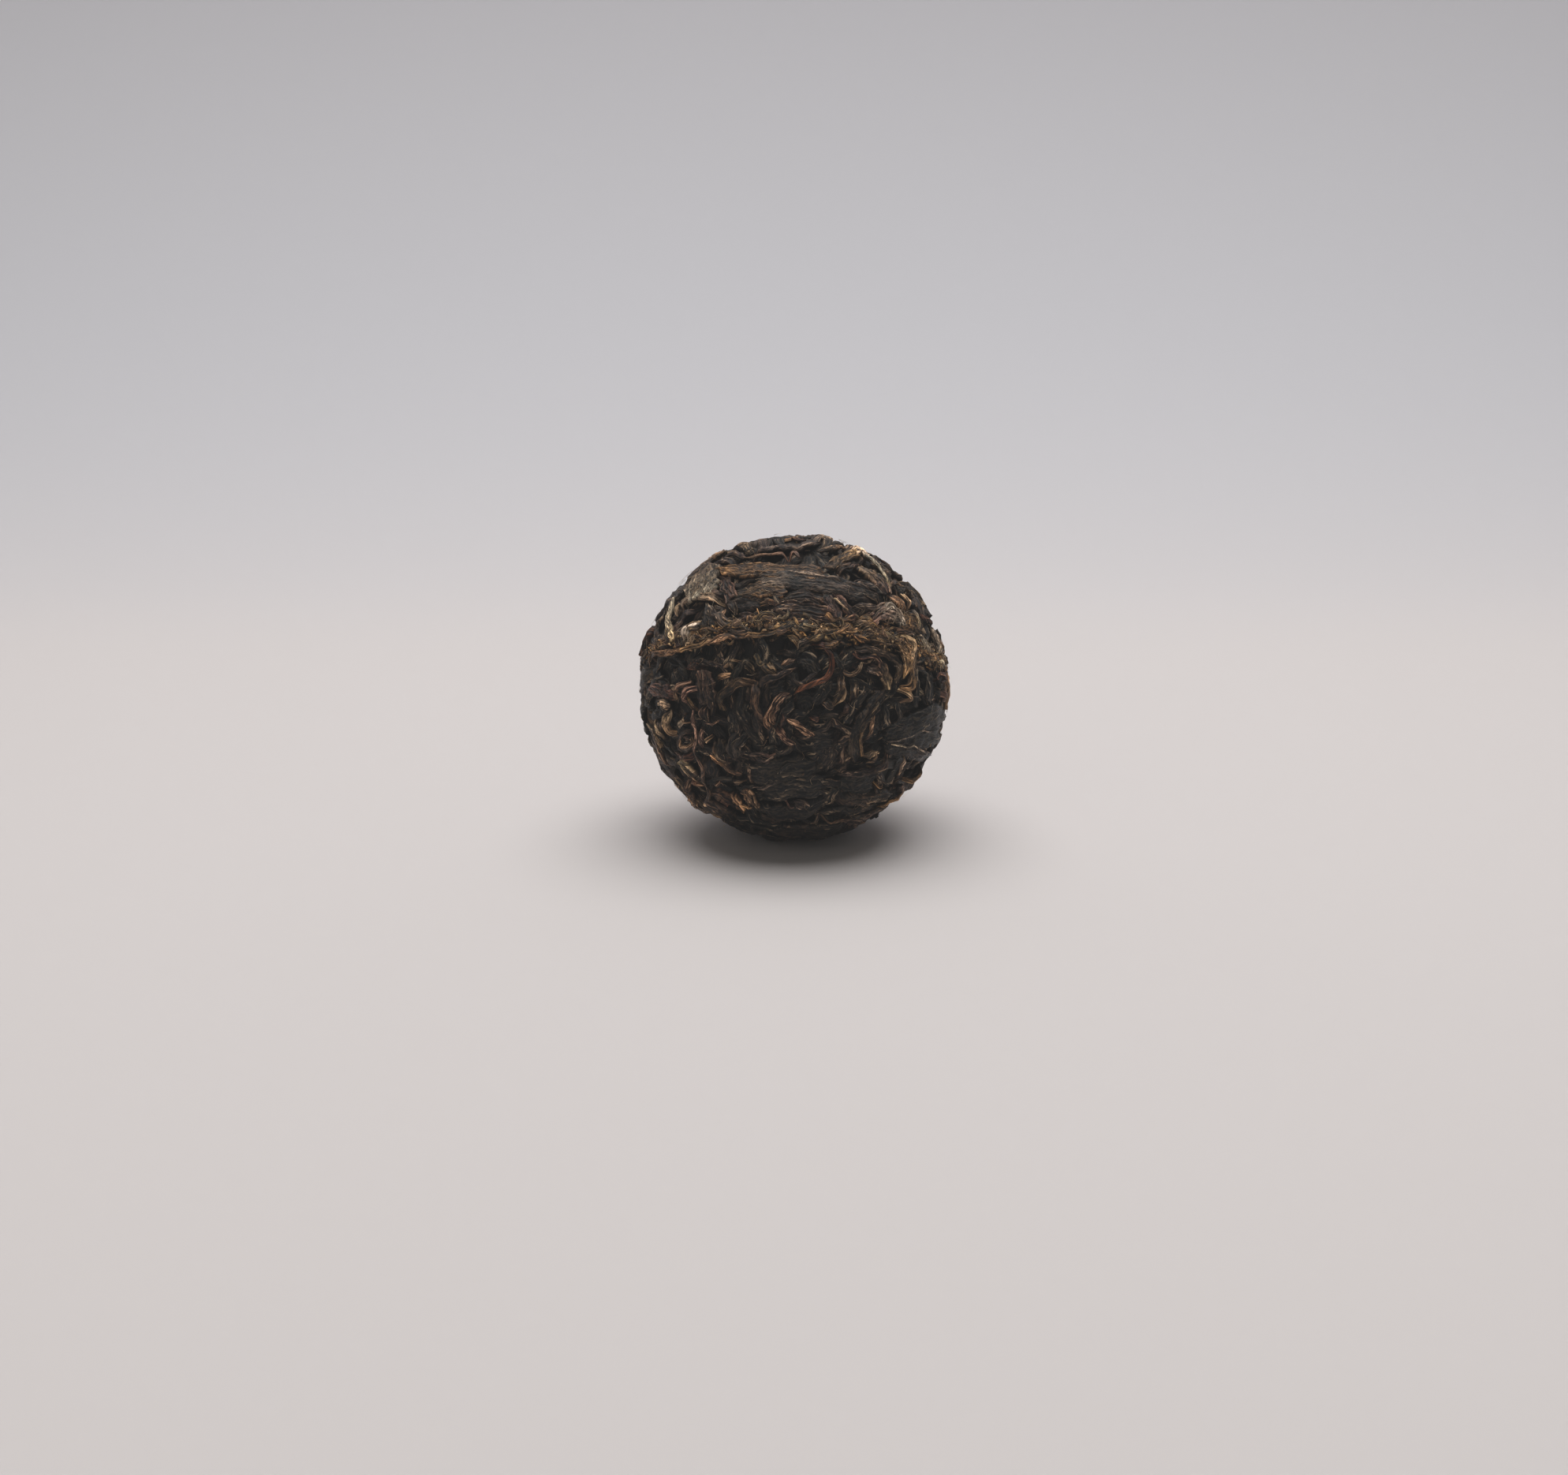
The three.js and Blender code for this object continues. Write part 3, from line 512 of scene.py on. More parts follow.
    # just below the seam, where the deep black leaves are partly painted shade under the lip
    ((-8.7, 1.7, -8.0, 1.8, -7.3, 1.55), 0.6, 0.18, Tone.ORANGE, Tone.COCOA, End.BLUNT, End.TUCKED),
    ((-8.5, 2.15, -6.8, 2.1, -5.9, 1.7), 0.5, 0.35, Tone.BLACK, Tone.BROWN),
    ((-5.3, 2.05, -4.85, 2.1, -4.4, 2.2), 0.18, 0.08, Tone.STRAW, Tone.TAN),
    ((-5.5, 1.6, -5.0, 1.85, -4.85, 1.2), 0.32, 0.05, Tone.TAN, Tone.STRAW),
    ((-4.8, 1.2, -5.5, 0.95, -6.1, 0.5), 0.42, 0.05, Tone.TAN, Tone.GOLD, End.TUCKED, End.BLUNT),
    ((-4.6, 1.3, -3.9, 1.9, -3.2, 1.4), 0.7, 0.3, Tone.GREEN, Tone.OLIVE),
    ((-3.0, 2.7, -2.6, 1.9, -2.1, 2.6), 0.42, 0.12, Tone.MOSS, Tone.OLIVE),
    ((-2.1, 2.4, -1.95, 1.4, -1.3, 0.8), 0.75, 0.06, Tone.OLIVE, Tone.MOSS),
    ((-1.0, 1.6, -0.4, 2.0, 0.2, 2.3), 0.4, 0.08, Tone.TAN, Tone.BROWN),
    ((-1.5, 2.9, -0.3, 2.8, 0.7, 2.9), 0.5, 0.4, Tone.BROWN, Tone.BLACK),
    ((2.0, 3.85, 3.0, 3.6, 3.5, 3.15), 0.5, 0.1, Tone.TAN, Tone.RUST, End.TUCKED, End.BLUNT),
    ((2.5, 3.2, 3.2, 2.7, 3.8, 1.6), 0.6, 0.2, Tone.GREEN, Tone.SLATE),
    ((-0.3, 3.2, 1.5, 3.8, 3.4, 4.1), 0.5, 0.3, Tone.BLACK, Tone.BROWN),
    # the bowl, left
    ((-8.5, 0.4, -9.2, 0.15, -9.4, -0.5, -9.2, -1.1), 0.38, 0.0, Tone.ROSE, Tone.TAN),
    ((-7.8, 0.1, -8.5, -0.25, -8.7, -0.9, -8.3, -1.5), 0.5, 0.0, Tone.ROSE, Tone.COCOA),
    ((-8.45, -0.7, -8.1, -1.3, -7.8, -2.0), 0.5, 0.0, Tone.GOLD, Tone.TAN, End.BLUNT, End.TUCKED),
    ((-10.7, -1.25, -10.2, -1.2, -9.7, -1.45), 0.6, 0.0, Tone.STRAW, Tone.OLIVE, End.TORN, End.TORN),
    ((-5.9, -1.9, -5.75, -0.7, -5.1, 0.1, -4.1, 0.45, -3.2, 0.35), 0.7, 0.0, Tone.MOSS, Tone.TAN,
     End.TUCKED, End.TUCKED),
    ((-3.0, 0.55, -3.1, -0.3, -3.0, -1.4, -2.65, -2.3, -2.55, -3.2), 0.65, 0.0, Tone.TAN, Tone.BROWN,
     End.TUCKED, End.TUCKED),
    ((-3.0, -0.4, -2.4, 0.5, -1.2, 1.0, 0.2, 1.7), 0.5, 0.0, Tone.BROWN, Tone.COCOA, End.TUCKED,
     End.POINTED),
    ((-0.4, -0.35, -1.2, -0.9, -1.8, -1.9, -1.95, -2.8, -1.4, -3.5), 0.75, 0.0, Tone.COCOA, Tone.TAN,
     End.BLUNT, End.TUCKED),
    ((-1.6, -2.9, -1.0, -3.4, -0.6, -4.1, -0.2, -4.4), 0.55, 0.06, Tone.RUST, Tone.COCOA),
    ((-0.7, -2.2, 0.3, -3.05, 1.7, -3.85), 0.5, 0.0, Tone.TAN, Tone.TAN, End.POINTED, End.BLUNT),
    ((-0.9, -1.8, -0.9, -2.6, -1.3, -3.2), 0.45, 0.06, Tone.RUST, Tone.BROWN),
    ((0.1, -4.2, -0.5, -4.9, -1.2, -5.1, -1.9, -4.75), 0.5, 0.1, Tone.OLIVE, Tone.SLATE),
    ((-3.7, -5.35, -2.6, -5.15, -1.4, -5.55), 0.28, 0.05, Tone.GREY, Tone.ROSE),
    ((-3.5, -5.5, -2.4, -5.9, -1.3, -5.75), 0.5, 0.12, Tone.PLUM, Tone.GREY),
    ((-9.6, -1.65, -10.05, -2.6, -9.9, -3.4, -9.4, -4.0), 0.75, 0.0, Tone.STRAW, Tone.GOLD,
     End.POINTED, End.TUCKED),
    ((-9.0, -2.1, -8.7, -2.6, -9.0, -3.15), 0.38, 0.02, Tone.TAN, Tone.SILVER),
    ((-8.9, -2.75, -8.5, -2.7, -8.1, -2.8), 0.15, 0.0, Tone.STRAW, Tone.TAN),
    ((-11.25, -2.4, -10.7, -3.2, -10.1, -4.1), 0.42, 0.0, Tone.STRAW, Tone.MOSS),
    ((-11.4, -3.0, -10.9, -3.9, -10.4, -4.8), 0.75, 0.02, Tone.OLIVE, Tone.MOSS),
    ((-7.95, -1.9, -7.75, -3.3, -7.6, -4.3, -7.72, -5.2, -7.4, -6.1, -7.1, -7.2, -6.75, -8.3, -6.9, -9.1),
     0.34, 0.0, Tone.ROSE, Tone.TAN),
    ((-7.2, -3.3, -7.4, -4.2, -7.3, -5.0), 0.5, 0.1, Tone.ROSE, Tone.COCOA),
    ((-7.4, -1.3, -7.2, -2.0, -7.0, -2.7), 0.8, 0.12, Tone.COCOA, Tone.BROWN),
    ((-6.9, -4.4, -6.8, -4.2, -6.65, -4.0), 0.25, 0.0, Tone.STRAW, Tone.TAN),
    ((-5.9, -2.5, -6.3, -2.85, -6.95, -2.85), 0.16, 0.04, Tone.TAN, Tone.COCOA),
    ((-6.35, -5.4, -5.6, -5.95, -4.8, -6.45, -4.1, -6.85), 0.34, 0.0, Tone.GOLD, Tone.TAN),
    ((-6.1, -4.3, -6.25, -5.0, -6.35, -5.5), 0.2, 0.02, Tone.TAN, Tone.GOLD),
    ((-9.5, -5.2, -8.7, -5.6, -7.9, -5.3), 0.7, 0.1, Tone.COCOA, Tone.RUST),
    ((-9.0, -6.1, -8.4, -6.6, -7.9, -7.0, -7.4, -7.5), 0.22, 0.0, Tone.STRAW, Tone.TAN),
    ((-8.2, -7.0, -7.7, -7.5, -7.0, -7.7), 0.45, 0.0, Tone.RUST, Tone.TAN),
    ((-7.15, -9.4, -6.8, -9.05, -6.4, -9.0), 0.4, 0.0, Tone.STRAW, Tone.TAN),
    ((-9.6, -6.0, -9.4, -6.6, -8.9, -7.3), 0.5, 0.0, Tone.GREY, Tone.BROWN),
    ((-5.0, -7.6, -4.4, -7.45, -3.9, -7.7), 0.5, 0.04, Tone.BROWN, Tone.OLIVE),
    ((-4.2, -9.1, -3.6, -9.15, -3.1, -9.4), 0.25, 0.0, Tone.GOLD, Tone.TAN),
    ((-3.0, -7.95, -1.8, -7.5, -0.6, -7.25), 0.32, 0.0, Tone.GREY, Tone.SLATE),
    ((-0.7, -9.2, -0.1, -9.35, 0.5, -9.6), 0.26, 0.0, Tone.ROSE, Tone.GREY),
    ((0.0, -8.9, 0.7, -9.2, 1.2, -9.7), 0.9, 0.04, Tone.PLUM, Tone.GREY),
    ((-6.2, -7.55, -6.0, -7.6, -5.8, -7.5), 0.22, 0.0, Tone.STRAW, Tone.ROSE),
    ((0.55, -6.95, 0.75, -6.75, 0.95, -6.75), 0.18, 0.0, Tone.GOLD, Tone.TAN),
    # the bowl, middle and right
    ((1.2, -2.35, 1.7, -2.5, 2.2, -2.6), 0.45, 0.15, Tone.RUST, Tone.COCOA, End.BLUNT, End.TUCKED),
    ((2.2, -2.25, 3.0, -2.15, 3.9, -2.3), 0.13, 0.2, Tone.GREY, Tone.GREEN),
    ((2.2, -0.9, 2.9, -1.3, 3.4, -1.2), 0.8, 0.22, Tone.BROWN, Tone.OLIVE),
    ((3.8, 1.1, 3.65, -0.4, 3.2, -1.5), 0.7, 0.1, Tone.BROWN, Tone.MOSS, End.TUCKED, End.BLUNT),
    ((4.8, 0.8, 4.9, -0.5, 4.6, -1.6), 0.7, 0.2, Tone.OLIVE, Tone.BROWN),
    ((4.1, -1.2, 4.15, -1.7, 4.1, -2.3), 0.4, 0.1, Tone.RUST, Tone.BROWN),
    ((5.4, 2.0, 5.2, 1.4, 4.6, 1.05, 4.0, 1.3), 0.36, 0.05, Tone.OLIVE, Tone.TAN),
    ((5.1, 0.6, 5.6, 0.2, 6.0, -0.8), 0.7, 0.3, Tone.SLATE, Tone.BLACK),
    ((5.1, -0.15, 5.5, -0.35, 5.95, -0.4), 0.28, 0.1, Tone.GREY, Tone.OLIVE),
    ((7.0, 4.0, 7.05, 3.5, 7.1, 2.9), 0.7, 0.18, Tone.OLIVE, Tone.MOSS),
    ((7.9, 4.1, 8.7, 3.9, 9.2, 3.4, 9.4, 2.6, 9.38, 1.6, 9.4, 0.8, 9.0, 0.2, 8.4, 0.0), 0.75, -0.04,
     Tone.STRAW, Tone.GOLD, End.TUCKED, End.BLUNT),
    ((8.5, -0.1, 8.9, -0.45, 9.1, -0.9, 8.6, -1.15), 0.42, 0.0, Tone.STRAW, Tone.TAN),
    ((7.6, 4.1, 8.2, 3.7, 8.75, 2.8, 8.85, 1.8, 8.65, 0.7), 0.8, 0.02, Tone.TAN, Tone.GOLD),
    ((4.8, 3.0, 6.0, 2.85, 7.2, 2.8, 8.0, 2.3, 8.3, 1.4, 8.2, 0.5), 0.6, 0.08, Tone.BROWN, Tone.OLIVE),
    ((4.6, 2.8, 5.2, 2.4, 5.8, 2.4, 6.7, 2.0, 6.9, 1.3), 0.34, 0.05, Tone.RUST, Tone.BROWN),
    ((5.9, 1.6, 6.5, 1.3, 6.9, 0.85), 0.5, 0.02, Tone.GREY, Tone.TAN, End.TORN, End.TORN),
    ((9.7, 1.9, 9.8, 0.9, 9.75, 0.1, 9.65, -1.3), 0.6, 0.1, Tone.SLATE, Tone.BLACK),
    ((10.1, 1.8, 10.35, 0.9, 10.5, -0.2, 10.6, -1.2), 0.5, 0.04, Tone.SLATE, Tone.SLATE),
    ((10.25, 1.4, 10.5, 0.2, 10.62, -1.0), 0.12, 0.0, Tone.SILVER, Tone.GREY),
    (arc(11.5, 0.7, 0.35, -60, 300), 0.26, 0.0, Tone.RUST, Tone.ORANGE),
    ((11.6, 0.9, 11.8, 1.1, 11.87, 1.35), 0.2, 0.0, Tone.RUST, Tone.RUST),
    ((11.5, -0.3, 11.8, -0.6, 11.6, -1.2), 0.6, 0.0, Tone.ROSE, Tone.COCOA),
    ((7.35, -1.2, 7.3, -2.4, 7.1, -3.8), 0.6, 0.14, Tone.SLATE, Tone.SLATE),
    ((7.2, -4.2, 8.6, -4.0, 9.6, -3.4, 10.8, -2.6), 0.16, -0.06, Tone.GREY, Tone.SILVER),
    ((7.4, -4.5, 9.0, -4.6, 10.6, -5.0), 0.16, -0.04, Tone.SILVER, Tone.GREY),
    ((9.4, -3.5, 10.2, -3.3, 11.0, -3.4), 0.14, -0.05, Tone.GREY, Tone.GREY),
    ((8.1, -1.3, 8.45, -2.2, 8.2, -3.0), 0.6, 0.12, Tone.SLATE, Tone.GREY),
    ((6.6, -1.6, 6.15, -2.6, 5.9, -3.6, 5.5, -4.6), 0.34, 0.0, Tone.TAN, Tone.COCOA),
    ((6.9, -0.8, 5.75, -2.2, 5.35, -3.4, 5.2, -4.6, 5.35, -5.3), 0.24, 0.0, Tone.OLIVE, Tone.GOLD),
    ((5.3, -5.7, 5.9, -5.25, 6.8, -5.2), 0.42, 0.0, Tone.OLIVE, Tone.STRAW, End.TUCKED, End.BLUNT),
    ((5.9, -4.9, 6.4, -5.35, 5.6, -5.85), 0.34, 0.03, Tone.TAN, Tone.OLIVE),
    ((3.5, -6.95, 5.0, -6.8, 6.6, -6.3, 7.8, -5.3), 0.7, 0.0, Tone.PLUM, Tone.COCOA, End.BLUNT,
     End.TUCKED),
    ((6.1, -6.55, 6.9, -6.25, 7.5, -5.75), 0.26, 0.0, Tone.STRAW, Tone.ROSE),
    ((3.35, -6.75, 3.7, -6.4, 4.0, -6.3), 0.42, 0.0, Tone.TAN, Tone.BROWN),
    ((9.05, -5.35, 8.5, -6.1, 8.1, -6.85), 0.28, 0.0, Tone.SILVER, Tone.TAN),
    ((7.9, -7.0, 7.4, -7.3, 6.8, -7.4), 0.14, 0.02, Tone.GREY, Tone.GREY),
    ((6.4, -7.4, 6.7, -7.7, 7.1, -7.5), 0.26, 0.0, Tone.GOLD, Tone.TAN),
    ((6.55, -7.7, 6.5, -8.0, 6.6, -8.3), 0.22, 0.0, Tone.TAN, Tone.OLIVE),
    ((10.3, -6.0, 9.6, -6.9, 8.8, -7.7), 0.55, 0.0, Tone.BLACK, Tone.GOLD),
    ((8.9, -8.0, 7.8, -8.7, 6.5, -9.4), 0.42, 0.0, Tone.TAN, Tone.GOLD),
    ((7.6, -9.1, 5.8, -9.8, 4.0, -10.3), 0.5, 0.0, Tone.BROWN, Tone.OLIVE),
    ((2.2, -10.6, 3.5, -10.5, 4.8, -10.25), 0.34, 0.0, Tone.TAN, Tone.BROWN),
    ((3.0, -9.5, 5.0, -9.6, 6.6, -9.2), 0.7, 0.03, Tone.BLACK, Tone.OLIVE),
]

# Leaves wound round a middle: u, v, the outer radius, the first angle, and the tones from outside
FRONT_WHORLS = [
    (0.6, 5.2, 0.8, 200, (Tone.OLIVE, Tone.GOLD, Tone.MOSS)),
    (-8.5, -4.25, 0.85, 40, (Tone.COCOA, Tone.TAN, Tone.GREY)),
    (-5.0, 3.75, 0.34, 120, (Tone.GOLD, Tone.TAN)),
    (-8.2, 3.2, 0.32, 20, (Tone.STRAW, Tone.TAN)),
    (7.3, 4.4, 0.5, 160, (Tone.TAN, Tone.OLIVE)),
]

# Thin stalks of the front face
FRONT_STALKS = [
    ((1.4, 3.8, 2.3, 3.3, 2.85, 2.4, 3.0, 1.5, 2.55, 0.8, 1.7, 0.4, 0.8, 0.05, 0.1, -0.5), 0.42, 0.0,
     Tone.RUST, Tone.ORANGE, End.TUCKED, End.POINTED),
]

# Deep gaps of the front face, with only the deepest leaves in them: u0, v0, u1, v1, width
FRONT_HOLLOWS = [
    (0.2, 10.2, 2.6, 9.95, 0.9),
    (4.1, 8.9, 5.3, 8.6, 0.8),
    (-3.3, 9.95, -0.9, 9.85, 0.35),
    (-7.9, 6.3, -7.5, 5.5, 0.8),
    (4.1, 6.8, 6.3, 6.75, 0.4),
    (5.9, -6.5, 8.1, -6.3, 1.0),
    (7.5, -7.2, 10.0, -6.6, 1.0),
    (7.2, -8.0, 8.8, -7.5, 0.5),
    (-4.9, -1.2, -3.8, -3.4, 1.5),
    (-9.4, -1.7, -8.2, -1.8, 0.6),
    (-7.6, -8.1, -7.3, -8.8, 0.8),
    (-5.9, -7.0, -4.6, -7.0, 0.5),
    (2.6, 11.4, 3.8, 11.3, 0.4),
    (9.1, -1.3, 10.0, -1.8, 0.7),
    (-1.6, 3.3, 1.2, 3.3, 0.5),
]


@dataclass
class Blank:
    """A straight leaf as modelled, ready to be copied: its run, width and height axes."""

    across: np.ndarray
    along: np.ndarray
    high: np.ndarray
    crest: np.ndarray
    corners: np.ndarray
    sizes: np.ndarray

    @staticmethod
    def clear_selection() -> None:
        """Deselects everything, so that an operator acts on the new primitive alone."""
        bpy.ops.object.select_all(action="DESELECT")

    @staticmethod
    def select(obj: bpy.types.Object, test: Callable[[bpy.types.MeshVertex], bool]) -> int:
        """Selects vertices by their place, and goes back to edit mode.

        Args:
            obj: The object that is being modelled, in edit mode.
            test: Says of each vertex whether it is taken.

        Returns:
            How many vertices were taken.
        """
        bpy.ops.mesh.select_mode(type="VERT")
        bpy.ops.mesh.select_all(action="DESELECT")
        bpy.ops.object.mode_set(mode="OBJECT")
        taken = 0
        for vertex in obj.data.vertices:
            vertex.select = bool(test(vertex))
            taken += vertex.select
        bpy.ops.object.mode_set(mode="EDIT")
        return taken

    @staticmethod
    def draw_out(rings: int, thin: float = 1.0) -> None:
        """Draws the whole section of a leaf out ring by ring, and closes the modelling.

        Args:
            rings: How many rings the leaf has.
            thin: The share of its width that each ring keeps.
        """
        bpy.ops.mesh.select_all(action="SELECT")
        bpy.ops.mesh.select_mode(type="FACE")
        for ring in range(rings):
            bpy.ops.mesh.extrude_region_move(TRANSFORM_OT_translate={"value": (0, 0, 1 / rings)})
            if thin < 1:
                middle = (0, 0, (ring + 1) / rings)
                bpy.ops.transform.resize(value=(thin, thin, 1), center_override=middle)
        bpy.ops.mesh.select_all(action="SELECT")
        bpy.ops.mesh.normals_make_consistent(inside=False)
        bpy.ops.object.mode_set(mode="OBJECT")

    @classmethod
    def take(cls, obj: bpy.types.Object, turned: bool) -> "Blank":
        """Reads a modelled leaf and removes its object.

        Args:
            obj: The finished object.
            turned: Whether the leaf was modelled standing up, with its run along Z.

        Returns:
            The blank.
        """
        mesh = obj.data
        xyz = np.empty(len(mesh.vertices) * 3)
        mesh.vertices.foreach_get("co", xyz)
        x, y, z = xyz.reshape(-1, 3).T
        across, along, high = (x, z, -y) if turned else (x, y, z)
        corners = np.empty(len(mesh.loops), np.int32)
        mesh.loops.foreach_get("vertex_index", corners)
        sizes = np.empty(len(mesh.polygons), np.int32)
        mesh.polygons.foreach_get("loop_total", sizes)
        along = (along - along.min()) / (along.max() - along.min())
        bpy.data.objects.remove(obj)
        bpy.data.meshes.remove(mesh)
        return cls(across, along, high, np.zeros(len(x)), corners, sizes)


@dataclass(frozen=True)
class RolledBlank:
    """A rolled leaf: a section with the creases of its folds, drawn out ring by ring."""

    sides: int = 20
    rings: int = 34
    valleys: tuple[int, ...] = (0, 4, 7, 11, 15)
    valley_depth: float = 0.3

    def make(self) -> Blank:
        """Models the leaf.

        Returns:
            Its blank, 2 wide, 2 high and 1 long.
        """
        Blank.clear_selection()
        bpy.ops.mesh.primitive_circle_add(vertices=self.sides, radius=1, fill_type="NGON")
        obj = bpy.context.object
        bpy.ops.object.mode_set(mode="EDIT")
        first = {v % self.sides for v in self.valleys}
        Blank.select(obj, lambda vertex: vertex.index in first)
        keep = 1 - self.valley_depth
        bpy.ops.transform.resize(value=(keep, keep, 1), center_override=(0, 0, 0))
        Blank.draw_out(self.rings)
        blank = Blank.take(obj, turned=True)
        reach = np.hypot(blank.across, blank.high)
        blank.crest = np.clip((reach - keep) / self.valley_depth, 0, 1)
        return blank


@dataclass(frozen=True)
class SheetBlank:
    """A broad leaf: a grid pleated along its run, then given its thickness."""

    columns: int = 22
    rows: int = 38
    pleats: int = 7
    pleat_deep: float = 0.12
    thick: float = 0.24
    seed: int = 1

    def make(self) -> Blank:
        """Models the leaf.

        Returns:
            Its blank, 2 wide and 1 long, with its height in millimetres.
        """
        rng = np.random.default_rng(self.seed)
        Blank.clear_selection()
        bpy.ops.mesh.primitive_grid_add(x_subdivisions=self.columns, y_subdivisions=self.rows, size=2)
        obj = bpy.context.object
        bpy.ops.object.mode_set(mode="EDIT")
        step = 2 / self.columns
        for pleat in range(self.pleats):
            middle = -1 + (pleat + 0.5 + rng.uniform(-0.25, 0.25)) * 2 / self.pleats
            deep = self.pleat_deep * rng.uniform(0.4, 1.2)
            for reach, share in ((0.6, 1.0), (1.5, 0.35)):
                near = (reach - 0.9) * step if share < 1 else 0
                if Blank.select(obj, lambda v: near <= abs(v.co.x - middle) < reach * step):
                    bpy.ops.transform.translate(value=(0, 0, -deep * share))
        bpy.ops.object.mode_set(mode="OBJECT")
        solid = obj.modifiers.new("thickness", "SOLIDIFY")
        solid.thickness = self.thick
        solid.offset = -1
        bpy.ops.object.modifier_apply(modifier=solid.name)
        blank = Blank.take(obj, turned=False)
        blank.crest = np.clip(1 + blank.high / (self.pleat_deep * 1.2), 0, 1)
        return blank


@dataclass(frozen=True)
class CrumbBlank:
    """A broken crumb of leaf: a small lump with its corners pushed in and out."""

    segments: int = 7
    rings: int = 5
    seed: int = 1
    jag: float = 0.45
    pushes: int = 6

    def make(self) -> Blank:
        """Models the crumb.

        Returns:
            Its blank, about 2 across each way.
        """
        rng = np.random.default_rng(self.seed)
        Blank.clear_selection()
        bpy.ops.mesh.primitive_uv_sphere_add(segments=self.segments, ring_count=self.rings, radius=1)
        obj = bpy.context.object
        bpy.ops.object.mode_set(mode="EDIT")
        for _ in range(self.pushes):
            way = unit(rng.normal(size=3))
            push = way * rng.uniform(-1, 0.6) * self.jag
            if Blank.select(obj, lambda v: np.dot(v.co.normalized(), way) > 0.7):
                bpy.ops.transform.translate(value=tuple(push))
        bpy.ops.object.mode_set(mode="OBJECT")
        blank = Blank.take(obj, turned=False)
        blank.along = blank.along * 2 - 1
        blank.crest = np.clip(0.5 + 0.5 * blank.high, 0, 1)
        return blank


@dataclass(frozen=True)
class HairBlank:
    """One hair of the down on a young leaf: three-sided, drawn out to a fine point."""

    rings: int = 4
    thin: float = 0.72

    def make(self) -> Blank:
        """Models the hair.

        Returns:
            Its blank, 2 wide at its root and 1 long.
        """
        Blank.clear_selection()
        bpy.ops.mesh.primitive_circle_add(vertices=3, radius=1, fill_type="NGON")
        obj = bpy.context.object
        bpy.ops.object.mode_set(mode="EDIT")
        Blank.draw_out(self.rings, self.thin)
        blank = Blank.take(obj, turned=True)
        blank.crest = np.ones(len(blank.along))
        return blank


@dataclass
class Laid:
    """A copy of a blank, laid on the ball: its points, pattern place, and its rubbing and painted shading.
    """

    xyz: np.ndarray
    uv: np.ndarray
    wear_and_shading: np.ndarray
    along: np.ndarray


